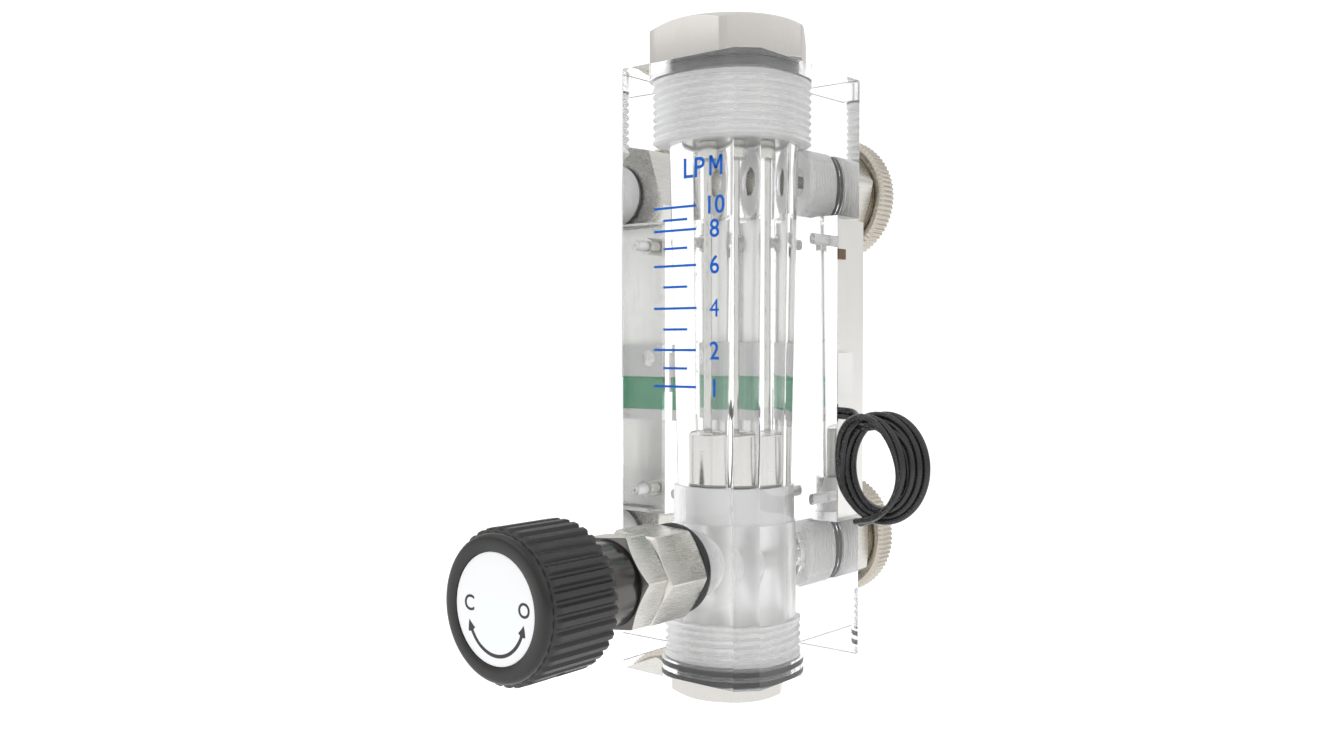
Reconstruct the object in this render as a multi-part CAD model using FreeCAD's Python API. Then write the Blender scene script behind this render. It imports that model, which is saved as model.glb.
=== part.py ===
import FreeCAD, Part
import math
import os

# Acrylic-block rotameter with a needle valve, a reed switch on a rail and two panel ports.
# Millimetres.  Every shape is drawn in the block's own frame: x to the right, y to the back
# from the front face, z up from the underside.  export() then moves it to the part's frame,
# whose origin is the centre of the inlet's rear mouth.

# --- driving dimensions -------------------------------------------------------------------
# block
BLOCK_WIDTH = 46.0
BLOCK_DEPTH = 52.5
BLOCK_HEIGHT = 160.0
FRONT_BEVEL = 4.75
TUBE_Y = 23.0                    # axis of the metering bore, behind the front face
INLET_Z = 29.0
PORT_SPACING = 102.0
OUTLET_Z = INLET_Z + PORT_SPACING
MOUTH_Y = 90.0                   # rear ends of the two port adapters
NOTCH_Y = 41.0
NOTCH_LOW_Z = 38.3
NOTCH_HIGH_Z = 121.7

# bore, its threads and its seals
TUBE_LOW_RADIUS = 9.2            # the metering bore widens upwards
TUBE_HIGH_RADIUS = 11.8
TUBE_LOW_Z = 49.0
TUBE_HIGH_Z = 140.0
CHAMBER_RADIUS = 11.0
CHAMBER_LOW_Z = 13.4
CHAMBER_HIGH_Z = 39.4
TOP_THREAD_RADIUS = 15.8
BOTTOM_THREAD_RADIUS = 11.9
THREAD_GAP = 0.05                # radial gap between male and female threads
THREAD_CHAMFER = 0.9
SEAL_DEPTH = 2.6                 # counterbores for the plugs' O-rings
SEAL_SECTION = 1.28              # section radius of those O-rings
SEAL_RELIEF = 0.4                # how far a plug's neck is turned down under its O-ring
TOP_SEAL_ROOM = 2.5              # how much wider than its thread each counterbore is
BOTTOM_SEAL_ROOM = 2.3

# hexagons
TOP_HEX = 40.0                   # across flats
BOTTOM_HEX = 29.0
PORT_HEX = 30.0
VALVE_HEX = 22.0
UPPER_HEX_TURN = 12.0            # how each hexagon happens to stand, in degrees
LOWER_HEX_TURN = -28.0
VALVE_BODY_TURN = -3.0
BONNET_TURN = 5.0
HEX_BEVEL_ANGLE = 30.0
HEX_FACE_SHARE = 0.985           # the bevel's face circle, as a share of the flats' circle
TOP_HEAD_HEIGHT = 10.4
BOTTOM_HEAD_HEIGHT = 6.4
PLUG_DISC = 0.8                  # thin round disc between each plug's hexagon and the block

# guide and float
ROD_RADIUS = 1.85
ROD_HIGH_Z = 146.8
SLIP_GAP = 0.02                  # radial gap of a pressed or closely sliding fit
SLEEVE_RADIUS = 4.1
SLEEVE_LOW_Z = 135.8
FLOAT_RADIUS = 8.8
FLOAT_LOW_Z = 49.0
FLOAT_HEIGHT = 13.9
FLOAT_HOLE_GAP = 0.08
FLOAT_WALL_RADIUS = 7.9          # inside of the float's cup
FLOAT_CORE_RADIUS = 3.0
FLOAT_FLOOR = 2.0
MAGNET_HEIGHT = 6.0
SEAT_RADIUS = 10.35
SEAT_BORE_RADIUS = 7.6
SEAT_ORIFICE_RADIUS = 6.6
SEAT_HUB_RADIUS = 3.4
SEAT_ARM_WIDTH = 1.6

# rear ports and their panel hardware
PORT_FACE_Y = 37.2               # bottom of each tapped rear port
PORT_THREAD_RADIUS = 8.3
PORT_SEAL_DEPTH = 1.85
PORT_SEAL_ROOM = 0.65
PORT_SEAL_SECTION = 0.87
PORT_NECK_RELIEF = 1.15
DRILLING_RADIUS = 3.75
PORT_PASSAGE_RADIUS = 4.0
STUB_RADIUS = 10.0
SHOULDER_Y = 72.4
PORT_TAP_RADIUS = 5.72           # female pipe thread in each adapter's rear end
PORT_TAP_DEPTH = 14.0
NUT_RADIUS = 18.4
NUT_FRONT_Y = 74.2
NUT_REAR_Y = 82.0
NUT_KNURLS = 60
NUT_KNURL_DEPTH = 0.45
NUT_KNURL_LAND = 2.4             # degrees
WASHER_RADIUS = 13.6
WASHER_GAP = 0.3                 # washer off the adapter's shoulder

# needle valve
VALVE_BODY_FRONT_Y = -17.7
VALVE_BODY_REAR_Y = -2.3
VALVE_NOSE_Y = 11.3
VALVE_NECK_RADIUS = 7.6
VALVE_SOCKET_Y = -11.5
VALVE_SEAL_MIDDLE_RADIUS = 10.6
VALVE_SEAL_SECTION = 1.12
SEAL_BORE_RADIUS = 4.65
BONNET_FRONT_Y = -26.8
BONNET_REAR_Y = -18.0
BONNET_THREAD_RADIUS = 8.2
BONNET_THREAD_END_Y = -13.0
BONNET_BOSS_RADIUS = 8.0
BONNET_BOSS_Y = -45.0
COLLAR_RADIUS = 10.5
STEM_THREAD_RADIUS = 3.95
STEM_RADIUS = 3.0
STEM_END_Y = -59.0
STEM_LAND_RADIUS = 4.5
STEM_GROOVE_RADIUS = 3.05
STEM_SHAFT_RADIUS = 2.6
NEEDLE_TIP_Y = 38.6
VALVE_SEAT_RADIUS = 6.0
VALVE_SEAT_Y = 34.7
VALVE_ORIFICE_RADIUS = 1.9

# knob
KNOB_RADIUS = 17.6               # over the ribs
KNOB_LIP_RADIUS = 16.5
KNOB_LIP_ROLL = 1.2
KNOB_REAR_Y = -41.5
KNOB_FRONT_Y = -63.1
KNOB_HOLLOW_Y = -48.0
KNOB_RIBS = 36
KNOB_RIB_DEPTH = 0.8
KNOB_RIB_LAND = 6.0              # degrees
LABEL_RADIUS = 12.5
LABEL_RECESS = 1.1
LABEL_THICKNESS = 0.8
INSERT_RADIUS = 6.0
SET_SCREW_RADIUS = 2.05
SET_SCREW_LENGTH = 12.5
SET_SCREW_Y = -52.0
SET_SCREW_TURN = 62.0

# rail and slider
RAIL_HALF_WIDTH = 21.0
RAIL_RIB = 2.5
RAIL_FRONT_Y = 45.0
RAIL_WEB_Y = 50.0
RAIL_BACK_Y = 58.3
RAIL_GROOVE_HALF_WIDTH = 5.0
RAIL_GROOVE_DEPTH = 2.5
RAIL_LOW_Z = 38.8
RAIL_HIGH_Z = 121.2
RAIL_SCREW_PLACES = [(x, z) for x in (-15.8, 15.8) for z in (45.0, 115.0)]
RAIL_SCREW_RADIUS = 1.45
RAIL_SCREW_HEAD_RADIUS = 2.9
RAIL_SCREW_DEPTH = 8.0           # how far each screw reaches into the block
RAIL_SPACER_RADIUS = 2.45
SLIDER_FRONT_Y = 41.8
SLIDER_LOW_Z = 65.0
SLIDER_HIGH_Z = 86.6
SLIDE_GAP = 0.3
CHEEK_THICKNESS = 1.3
CHEEK_STEP = 0.4                 # how far the cheeks stand behind the slider's face
CHEEK_LOW_Z = 73.1
CHEEK_HIGH_Z = 84.4
STRIPE_LOW_Z = 68.0
STRIPE_HIGH_Z = 77.4
BOARD_BACK_Y = 42.75
REED_RADIUS = 1.3
REED_Y = 45.6
REED_Z = 72.7
CLAMP_X = -16.2
CLAMP_Z = 82.6
CLAMP_RADIUS = 1.25
CLAMP_HEAD_RADIUS = 2.25
GROMMET_INNER_X = 13.0
GROMMET_BACK_Y = 44.65
GROMMET_HALF_HEIGHT = 2.45
STOP_LOW_Z = 110.1
STOP_HEIGHT = 2.8

# cable
CORD_Y = 43.7
CORD_Z = 67.9
CORD_ROUTE = [(21.2, CORD_Y, CORD_Z), (24.4, CORD_Y, CORD_Z), (27.53, 43.06, 67.43),
              (30.0, 42.1, 66.9)]
CORD_HALF_WIDTH = 1.65
CORD_HALF_THICKNESS = 0.85
COIL_CENTRE = (39.2, 36.8, 54.9)
COIL_RADIUS = 12.2
COIL_SECTION = 3.4
COIL_TURN = -16.0                # degrees the ring is swung towards the front

X = FreeCAD.Vector(1, 0, 0)
Y = FreeCAD.Vector(0, 1, 0)
Z = FreeCAD.Vector(0, 0, 1)
ORIGIN = FreeCAD.Vector(0, MOUTH_Y, INLET_Z)


# --- form helpers -------------------------------------------------------------------------
def box(x0, x1, y0, y1, z0, z1):
    """Block between two opposite corners."""
    return Part.makeBox(x1 - x0, y1 - y0, z1 - z0, FreeCAD.Vector(x0, y0, z0))


def prism(points, direction):
    """Closed outline of points pushed along a direction."""
    loop = [FreeCAD.Vector(*p) for p in points]
    face = Part.Face(Part.makePolygon(loop + loop[:1]))
    return face.extrude(FreeCAD.Vector(*direction))


def turned_z(profile, x=0.0, y=TUBE_Y):
    """Closed (radius, z) outline turned about an upright axis."""
    loop = [FreeCAD.Vector(x + r, y, z) for r, z in profile]
    face = Part.Face(Part.makePolygon(loop + loop[:1]))
    return face.revolve(FreeCAD.Vector(x, y, 0), Z, 360)


def turned_y(profile, z, x=0.0):
    """Closed (radius, y) outline turned about an axis that runs front to back."""
    loop = [FreeCAD.Vector(x + r, y, z) for r, y in profile]
    face = Part.Face(Part.makePolygon(loop + loop[:1]))
    return face.revolve(FreeCAD.Vector(x, 0, z), Y, 360)


def rod_z(radius, low, high, x=0.0, y=TUBE_Y):
    """Upright cylinder."""
    return Part.makeCylinder(radius, high - low, FreeCAD.Vector(x, y, low), Z)


def rod_y(radius, front, back, z, x=0.0):
    """Cylinder that runs front to back."""
    return Part.makeCylinder(radius, back - front, FreeCAD.Vector(x, front, z), Y)


def hexagon(across_flats, turn_degrees):
    """Six (u, v) corners, the first at the given angle."""
    corner = across_flats / math.sqrt(3)
    angles = [math.radians(turn_degrees + 60 * k) for k in range(6)]
    return [(corner * math.cos(a), corner * math.sin(a)) for a in angles]


def hex_z(across_flats, low, high, bevel_low, bevel_high):
    """Upright hexagon bar with its corners turned off at the ends that ask for it."""
    bar = prism([(u, TUBE_Y + v, low) for u, v in hexagon(across_flats, 0)], (0, 0, high - low))
    corner = across_flats / math.sqrt(3) + 0.1
    inner = across_flats / 2 * HEX_FACE_SHARE
    drop = (corner - inner) * math.tan(math.radians(HEX_BEVEL_ANGLE))
    cone = [(0, low), (inner if bevel_low else corner, low), (corner, low + drop),
            (corner, high - drop), (inner if bevel_high else corner, high), (0, high)]
    return bar.common(turned_z(cone))


def hex_y(across_flats, front, back, z, turn_degrees, bevel_front, bevel_back):
    """Hexagon bar that runs front to back, its corners turned off where asked."""
    corners = [(u, front, z + v) for u, v in hexagon(across_flats, turn_degrees)]
    bar = prism(corners, (0, back - front, 0))
    corner = across_flats / math.sqrt(3) + 0.1
    inner = across_flats / 2 * HEX_FACE_SHARE
    drop = (corner - inner) * math.tan(math.radians(HEX_BEVEL_ANGLE))
    cone = [(0, front), (inner if bevel_front else corner, front), (corner, front + drop),
            (corner, back - drop), (inner if bevel_back else corner, back), (0, back)]
    return bar.common(turned_y(cone, z))


def toothed(outer, inner, count, land, front, back, z):
    """Ribbed bar: each of count teeth is a flat land, in degrees, between grooves at inner."""
    step = 360.0 / count
    flank = (step - land) / 3
    points = []
    for k in range(count):
        middle = k * step
        for angle, radius in ((-land / 2, outer), (land / 2, outer),
                              (land / 2 + flank, inner), (land / 2 + 2 * flank, inner)):
            a = math.radians(middle + angle)
            points.append((radius * math.cos(a), front, z + radius * math.sin(a)))
    return prism(points, (0, back - front, 0))


def export(name, shape):
    """Write one piece as parts/NAME.step in the part's frame."""
    placed = shape.removeSplitter() if shape.ShapeType != "Compound" else shape.copy()
    placed.translate(ORIGIN.negative())
    placed.exportStep("parts/" + name + ".step")
    print(name, round(placed.Volume, 1), "mm3", "valid" if placed.isValid() else "NOT VALID")


# --- the clear block ----------------------------------------------------------------------
def acrylic_block():
    """Sawn and polished block with the metering bore, its tapped ends, ports and rear notch."""
    half = BLOCK_WIDTH / 2
    outline = [(-half + FRONT_BEVEL, 0, 0), (half - FRONT_BEVEL, 0, 0), (half, FRONT_BEVEL, 0),
               (half, BLOCK_DEPTH, 0), (-half, BLOCK_DEPTH, 0), (-half, FRONT_BEVEL, 0)]
    block = prism(outline, (0, 0, BLOCK_HEIGHT))
    notch = box(-half - 1, half + 1, NOTCH_Y, BLOCK_DEPTH + 1, NOTCH_LOW_Z, NOTCH_HIGH_Z)
    top_hole = TOP_THREAD_RADIUS + THREAD_GAP
    bottom_hole = BOTTOM_THREAD_RADIUS + THREAD_GAP
    top_room = top_hole + TOP_SEAL_ROOM
    bottom_room = bottom_hole + BOTTOM_SEAL_ROOM
    bore = turned_z([(0, -1), (bottom_room, -1), (bottom_room, SEAL_DEPTH),
                     (bottom_hole, SEAL_DEPTH), (bottom_hole, CHAMBER_LOW_Z),
                     (CHAMBER_RADIUS, CHAMBER_LOW_Z), (CHAMBER_RADIUS, CHAMBER_HIGH_Z),
                     (SEAT_RADIUS + THREAD_GAP, CHAMBER_HIGH_Z),
                     (SEAT_RADIUS + THREAD_GAP, TUBE_LOW_Z), (TUBE_LOW_RADIUS, TUBE_LOW_Z),
                     (TUBE_HIGH_RADIUS, TUBE_HIGH_Z), (top_hole, TUBE_HIGH_Z),
                     (top_hole, BLOCK_HEIGHT - SEAL_DEPTH),
                     (top_room, BLOCK_HEIGHT - SEAL_DEPTH), (top_room, BLOCK_HEIGHT + 1),
                     (0, BLOCK_HEIGHT + 1)])
    block = block.cut(notch).cut(bore)
    port = PORT_THREAD_RADIUS + THREAD_GAP
    for z in (INLET_Z, OUTLET_Z):
        block = block.cut(rod_y(DRILLING_RADIUS, TUBE_Y + 4, PORT_FACE_Y + 1, z))
        block = block.cut(rod_y(port, PORT_FACE_Y, BLOCK_DEPTH + 1, z))
        block = block.cut(rod_y(port + PORT_SEAL_ROOM, BLOCK_DEPTH - PORT_SEAL_DEPTH,
                                BLOCK_DEPTH + 1, z))
    block = block.cut(rod_y(VALVE_SEAT_RADIUS + THREAD_GAP, VALVE_SEAT_Y, PORT_FACE_Y + 1, INLET_Z))
    block = block.cut(rod_y(port, -1, TUBE_Y - 4, INLET_Z))
    for x, z in RAIL_SCREW_PLACES:
        block = block.cut(rod_y(RAIL_SCREW_RADIUS + THREAD_GAP, NOTCH_Y - RAIL_SCREW_DEPTH - 0.2,
                                NOTCH_Y + 1, z, x))
    return block


# --- plugs, guide and float seat ----------------------------------------------------------
def top_plug():
    """Hexagon plug: turned face ring, O-ring relief and threaded shank with a rod socket."""
    disc_top = BLOCK_HEIGHT + PLUG_DISC
    head = hex_z(TOP_HEX, disc_top, disc_top + TOP_HEAD_HEIGHT, False, True)
    low = TUBE_HIGH_Z + 0.6
    relief = BLOCK_HEIGHT - SEAL_DEPTH
    neck = TOP_THREAD_RADIUS - SEAL_RELIEF
    shank = turned_z([(0, low), (TOP_THREAD_RADIUS - THREAD_CHAMFER, low),
                      (TOP_THREAD_RADIUS, low + THREAD_CHAMFER), (TOP_THREAD_RADIUS, relief),
                      (neck, relief), (neck, BLOCK_HEIGHT), (TOP_HEX / 2, BLOCK_HEIGHT),
                      (TOP_HEX / 2, disc_top), (0, disc_top)])
    socket = rod_z(ROD_RADIUS + SLIP_GAP, low - 1, ROD_HIGH_Z)
    return head.fuse(shank).cut(socket)


def bottom_plug():
    """Smaller hexagon plug of the same form, screwed up into the tapped foot of the bore."""
    head = hex_z(BOTTOM_HEX, -PLUG_DISC - BOTTOM_HEAD_HEIGHT, -PLUG_DISC, True, False)
    high = CHAMBER_LOW_Z - 0.2
    neck = BOTTOM_THREAD_RADIUS - SEAL_RELIEF
    shank = turned_z([(0, -PLUG_DISC), (BOTTOM_HEX / 2, -PLUG_DISC), (BOTTOM_HEX / 2, 0),
                      (neck, 0), (neck, SEAL_DEPTH), (BOTTOM_THREAD_RADIUS, SEAL_DEPTH),
                      (BOTTOM_THREAD_RADIUS, high - THREAD_CHAMFER),
                      (BOTTOM_THREAD_RADIUS - THREAD_CHAMFER, high), (0, high)])
    return head.fuse(shank)


def o_ring_z(inner_radius, middle_z):
    """O-ring that lies round an upright neck."""
    middle = inner_radius + SEAL_SECTION
    return Part.makeTorus(middle, SEAL_SECTION, FreeCAD.Vector(0, TUBE_Y, middle_z), Z)


def o_ring_y(middle_radius, section, middle_y, z):
    """O-ring round a neck that runs front to back."""
    return Part.makeTorus(middle_radius, section, FreeCAD.Vector(0, middle_y, z), Y)


def rod_stop_sleeve():
    """Short tube on the rod against the top plug: the float stops on it."""
    hole = ROD_RADIUS + SLIP_GAP
    high = TUBE_HIGH_Z + 0.6
    return turned_z([(hole, SLEEVE_LOW_Z), (SLEEVE_RADIUS - 0.4, SLEEVE_LOW_Z),
                     (SLEEVE_RADIUS, SLEEVE_LOW_Z + 0.4), (SLEEVE_RADIUS, high), (hole, high)])


def float_seat():
    """Ring under the metering bore with a coned orifice and a three-armed rod carrier."""
    top = TUBE_LOW_Z - 0.05
    mouth = SEAT_BORE_RADIUS + 0.6
    ring = turned_z([(SEAT_BORE_RADIUS, CHAMBER_HIGH_Z), (SEAT_RADIUS, CHAMBER_HIGH_Z),
                     (SEAT_RADIUS, top), (mouth, top), (SEAT_ORIFICE_RADIUS, top - 2.4),
                     (SEAT_ORIFICE_RADIUS, top - 4.2), (SEAT_BORE_RADIUS, top - 5.4)])
    hub = rod_z(SEAT_HUB_RADIUS, CHAMBER_HIGH_Z, CHAMBER_HIGH_Z + 4.0)
    carrier = ring.fuse(hub)
    for k in range(3):
        arm = box(2.5, mouth, TUBE_Y - SEAT_ARM_WIDTH / 2, TUBE_Y + SEAT_ARM_WIDTH / 2,
                  CHAMBER_HIGH_Z, CHAMBER_HIGH_Z + 3.0)
        arm.rotate(FreeCAD.Vector(0, TUBE_Y, 0), Z, 90 + 120 * k)
        carrier = carrier.fuse(arm)
    return carrier.cut(rod_z(ROD_RADIUS + SLIP_GAP, CHAMBER_HIGH_Z - 1, CHAMBER_HIGH_Z + 9))


# --- the float ----------------------------------------------------------------------------
def float_body():
    """Turned cup with a bored core that runs on the guide rod."""
    hole = ROD_RADIUS + FLOAT_HOLE_GAP
    top = FLOAT_LOW_Z + FLOAT_HEIGHT
    floor = FLOAT_LOW_Z + FLOAT_FLOOR
    return turned_z([(hole, FLOAT_LOW_Z), (FLOAT_RADIUS - 0.8, FLOAT_LOW_Z),
                     (FLOAT_RADIUS, FLOAT_LOW_Z + 0.8), (FLOAT_RADIUS, top - 0.3),
                     (FLOAT_RADIUS - 0.3, top), (FLOAT_WALL_RADIUS, top),
                     (FLOAT_WALL_RADIUS, floor), (FLOAT_CORE_RADIUS, floor),
                     (FLOAT_CORE_RADIUS, top), (hole, top)])


def float_magnet():
    """Ring magnet on the floor of the float's cup."""
    low = FLOAT_LOW_Z + FLOAT_FLOOR
    high = low + MAGNET_HEIGHT
    inner, outer = FLOAT_CORE_RADIUS + 0.05, FLOAT_WALL_RADIUS - 0.05
    return turned_z([(inner, low), (outer, low), (outer, high), (inner, high)])


def float_cap():
    """Pressed washer that closes the cup."""
    low, high = FLOAT_LOW_Z + FLOAT_HEIGHT - 1.8, FLOAT_LOW_Z + FLOAT_HEIGHT - 0.2
    return turned_z([(FLOAT_CORE_RADIUS, low), (FLOAT_WALL_RADIUS, low),
                     (FLOAT_WALL_RADIUS, high), (FLOAT_CORE_RADIUS, high)])


# --- rear ports ---------------------------------------------------------------------------
def port_adapter(z, turn):
    """One-piece adapter: thread into the block, hexagon, threaded panel stub, tapped mouth."""
    neck = PORT_THREAD_RADIUS - PORT_NECK_RELIEF
    seal = BLOCK_DEPTH - PORT_SEAL_DEPTH
    front = PORT_FACE_Y + 0.2
    shank = turned_y([(0, front), (PORT_THREAD_RADIUS - 0.7, front),
                      (PORT_THREAD_RADIUS, front + 0.7), (PORT_THREAD_RADIUS, seal),
                      (neck, seal), (neck, BLOCK_DEPTH + 1), (0, BLOCK_DEPTH + 1)], z)
    bar = hex_y(PORT_HEX, BLOCK_DEPTH, SHOULDER_Y, z, turn, False, True)
    stub = turned_y([(0, SHOULDER_Y - 1), (STUB_RADIUS, SHOULDER_Y - 1),
                     (STUB_RADIUS, MOUTH_Y - 0.8), (STUB_RADIUS - 0.8, MOUTH_Y), (0, MOUTH_Y)], z)
    passage = rod_y(PORT_PASSAGE_RADIUS, front - 1, MOUTH_Y, z)
    tap = rod_y(PORT_TAP_RADIUS, MOUTH_Y - PORT_TAP_DEPTH, MOUTH_Y + 1, z)
    return shank.fuse([bar, stub]).cut(passage).cut(tap)


def panel_nut(z):
    """Round nut with a straight-knurled rim, bevelled both sides, that clamps a panel."""
    rim = toothed(NUT_RADIUS, NUT_RADIUS - NUT_KNURL_DEPTH, NUT_KNURLS, NUT_KNURL_LAND,
                  NUT_FRONT_Y, NUT_REAR_Y, z)
    bore = STUB_RADIUS + THREAD_GAP
    form = turned_y([(bore, NUT_FRONT_Y + 0.5), (14.4, NUT_FRONT_Y + 0.5), (15.2, NUT_FRONT_Y),
                     (NUT_RADIUS - 1.0, NUT_FRONT_Y), (NUT_RADIUS + 0.1, NUT_FRONT_Y + 1.1),
                     (NUT_RADIUS + 0.1, NUT_REAR_Y - 1.1), (NUT_RADIUS - 1.0, NUT_REAR_Y),
                     (bore + 0.8, NUT_REAR_Y), (bore, NUT_REAR_Y - 0.8)], z)
    return rim.common(form)


def panel_washer(z):
    """Plain washer between the hexagon's shoulder and the nut."""
    low, high = SHOULDER_Y + WASHER_GAP, NUT_FRONT_Y + 0.4
    bore = STUB_RADIUS + THREAD_GAP
    return turned_y([(bore, low), (WASHER_RADIUS - 0.2, low), (WASHER_RADIUS, low + 0.2),
                     (WASHER_RADIUS, high), (bore, high)], z)


# --- needle valve -------------------------------------------------------------------------
def valve_body():
    """Hexagon body with a threaded nose in the block, a seal bore and a socket for the bonnet."""
    bar = hex_y(VALVE_HEX, VALVE_BODY_FRONT_Y, VALVE_BODY_REAR_Y, INLET_Z, VALVE_BODY_TURN,
                True, True)
    neck = VALVE_NECK_RADIUS
    nose = turned_y([(0, VALVE_BODY_REAR_Y - 1), (neck, VALVE_BODY_REAR_Y - 1), (neck, 0.4),
                     (PORT_THREAD_RADIUS, 1.1), (PORT_THREAD_RADIUS, VALVE_NOSE_Y - 0.7),
                     (PORT_THREAD_RADIUS - 0.7, VALVE_NOSE_Y), (0, VALVE_NOSE_Y)], INLET_Z)
    socket = rod_y(BONNET_THREAD_RADIUS + THREAD_GAP, VALVE_BODY_FRONT_Y - 1, VALVE_SOCKET_Y,
                   INLET_Z)
    seal_bore = rod_y(SEAL_BORE_RADIUS, VALVE_SOCKET_Y - 1, -1.0, INLET_Z)
    passage = rod_y(3.0, -2.0, VALVE_NOSE_Y + 1.2, INLET_Z)
    return bar.fuse(nose).cut(socket).cut(seal_bore).cut(passage)


def valve_bonnet():
    """Hexagon nut with a long round boss in front, tapped through for the stem."""
    bar = hex_y(VALVE_HEX, BONNET_FRONT_Y, BONNET_REAR_Y, INLET_Z, BONNET_TURN, True, True)
    boss = rod_y(BONNET_BOSS_RADIUS, BONNET_BOSS_Y, BONNET_FRONT_Y + 1, INLET_Z)
    spigot = rod_y(BONNET_THREAD_RADIUS, BONNET_REAR_Y - 1, BONNET_THREAD_END_Y, INLET_Z)
    thread = rod_y(STEM_THREAD_RADIUS + THREAD_GAP, BONNET_BOSS_Y - 1, BONNET_THREAD_END_Y + 1,
                   INLET_Z)
    return bar.fuse([boss, spigot]).cut(thread)


def bonnet_collar():
    """Black sleeve on the bonnet's boss, between its hexagon and the knob."""
    bore = BONNET_BOSS_RADIUS + SLIP_GAP
    low, high = BONNET_BOSS_Y, BONNET_FRONT_Y - 0.05
    return turned_y([(bore, low), (COLLAR_RADIUS - 0.6, low), (COLLAR_RADIUS, low + 0.6),
                     (COLLAR_RADIUS, high), (bore, high)], INLET_Z)


def valve_stem():
    """Spindle: knob end, thread, grooved seal land, shaft across the chamber, needle point."""
    thread, land, groove = STEM_THREAD_RADIUS, STEM_LAND_RADIUS, STEM_GROOVE_RADIUS
    shaft, tip = STEM_SHAFT_RADIUS, NEEDLE_TIP_Y
    return turned_y([(0, STEM_END_Y), (STEM_RADIUS - 0.4, STEM_END_Y),
                     (STEM_RADIUS, STEM_END_Y + 0.4), (STEM_RADIUS, -46.5),
                     (thread - 0.5, -46.5), (thread, -46.0), (thread, -23.0), (3.3, -22.4),
                     (3.3, -9.2), (land, -9.2), (land, -6.9), (groove, -6.9), (groove, -5.1),
                     (land, -5.1), (land, -3.0), (shaft, -3.0), (shaft, tip - 6.0),
                     (shaft - 0.4, tip - 5.0), (1.0, tip - 0.6), (0, tip)], INLET_Z)


def valve_seat():
    """Soft bush behind the chamber: the needle closes its coned orifice."""
    return turned_y([(2.75, VALVE_SEAT_Y), (VALVE_SEAT_RADIUS, VALVE_SEAT_Y),
                     (VALVE_SEAT_RADIUS, PORT_FACE_Y), (VALVE_ORIFICE_RADIUS, PORT_FACE_Y),
                     (VALVE_ORIFICE_RADIUS, PORT_FACE_Y - 0.6)], INLET_Z)


# --- knob ---------------------------------------------------------------------------------
def knob():
    """Moulded knob: ribbed skirt, plain rolled front lip, label recess and hollow rear."""
    ribs = toothed(KNOB_RADIUS, KNOB_RADIUS - KNOB_RIB_DEPTH, KNOB_RIBS, KNOB_RIB_LAND,
                   KNOB_FRONT_Y + 1.9, KNOB_REAR_Y, INLET_Z)
    lip = KNOB_LIP_ROLL
    arc = [math.radians(15 * k) for k in range(7)]
    rolled = [(KNOB_LIP_RADIUS - lip + lip * math.sin(a), KNOB_FRONT_Y + lip - lip * math.cos(a))
              for a in arc]
    front = turned_y([(0, KNOB_FRONT_Y)] + rolled + [(KNOB_LIP_RADIUS, KNOB_FRONT_Y + 2.6),
                     (0, KNOB_FRONT_Y + 2.6)], INLET_Z)
    skirt = turned_y([(0, KNOB_FRONT_Y + 1.9), (KNOB_RADIUS - 0.9, KNOB_FRONT_Y + 1.9),
                      (KNOB_RADIUS + 0.1, KNOB_FRONT_Y + 2.9),
                      (KNOB_RADIUS + 0.1, KNOB_REAR_Y - 0.6), (KNOB_RADIUS - 0.5, KNOB_REAR_Y),
                      (0, KNOB_REAR_Y)], INLET_Z)
    body = ribs.common(skirt).fuse(front)
    label = rod_y(LABEL_RADIUS + 0.1, KNOB_FRONT_Y - 1, KNOB_FRONT_Y + LABEL_RECESS, INLET_Z)
    hollow = rod_y(COLLAR_RADIUS + 0.6, KNOB_HOLLOW_Y, KNOB_REAR_Y + 1, INLET_Z)
    socket = rod_y(INSERT_RADIUS, STEM_END_Y - 0.2, KNOB_HOLLOW_Y + 1, INLET_Z)
    body = body.cut(label).cut(hollow).cut(socket)
    return body.cut(set_screw_hole())


def set_screw_hole():
    """Radial hole from the knob's axis outwards, at the set screw's place."""
    bar = Part.makeCylinder(SET_SCREW_RADIUS + THREAD_GAP, 30.0,
                            FreeCAD.Vector(0, SET_SCREW_Y, INLET_Z), X)
    bar.rotate(FreeCAD.Vector(0, SET_SCREW_Y, INLET_Z), Y, SET_SCREW_TURN)
    return bar


def knob_insert():
    """Brass bush moulded in the knob, cross-tapped for the set screw."""
    bore = STEM_RADIUS + SLIP_GAP
    bush = turned_y([(bore, STEM_END_Y), (INSERT_RADIUS, STEM_END_Y),
                     (INSERT_RADIUS, KNOB_HOLLOW_Y), (bore, KNOB_HOLLOW_Y)], INLET_Z)
    return bush.cut(set_screw_hole())


def knob_set_screw():
    """Hexagon-socket set screw that grips the stem."""
    start = STEM_RADIUS + 0.05
    direction = FreeCAD.Vector(math.cos(math.radians(SET_SCREW_TURN)), 0,
                               -math.sin(math.radians(SET_SCREW_TURN)))
    foot = FreeCAD.Vector(0, SET_SCREW_Y, INLET_Z).add(direction * start)
    screw = Part.makeCylinder(SET_SCREW_RADIUS, SET_SCREW_LENGTH, foot, direction)
    key = prism([(u, v, 0) for u, v in hexagon(2.0, 0)], (0, 0, 4))
    key.rotate(FreeCAD.Vector(0, 0, 0), Y, 90 + SET_SCREW_TURN)
    key.translate(foot.add(direction * (SET_SCREW_LENGTH - 2.3)))
    return screw.cut(key)


def knob_label():
    """Printed disc glued in the knob's front recess."""
    back = KNOB_FRONT_Y + LABEL_RECESS
    return rod_y(LABEL_RADIUS, back - LABEL_THICKNESS, back, INLET_Z)


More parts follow.
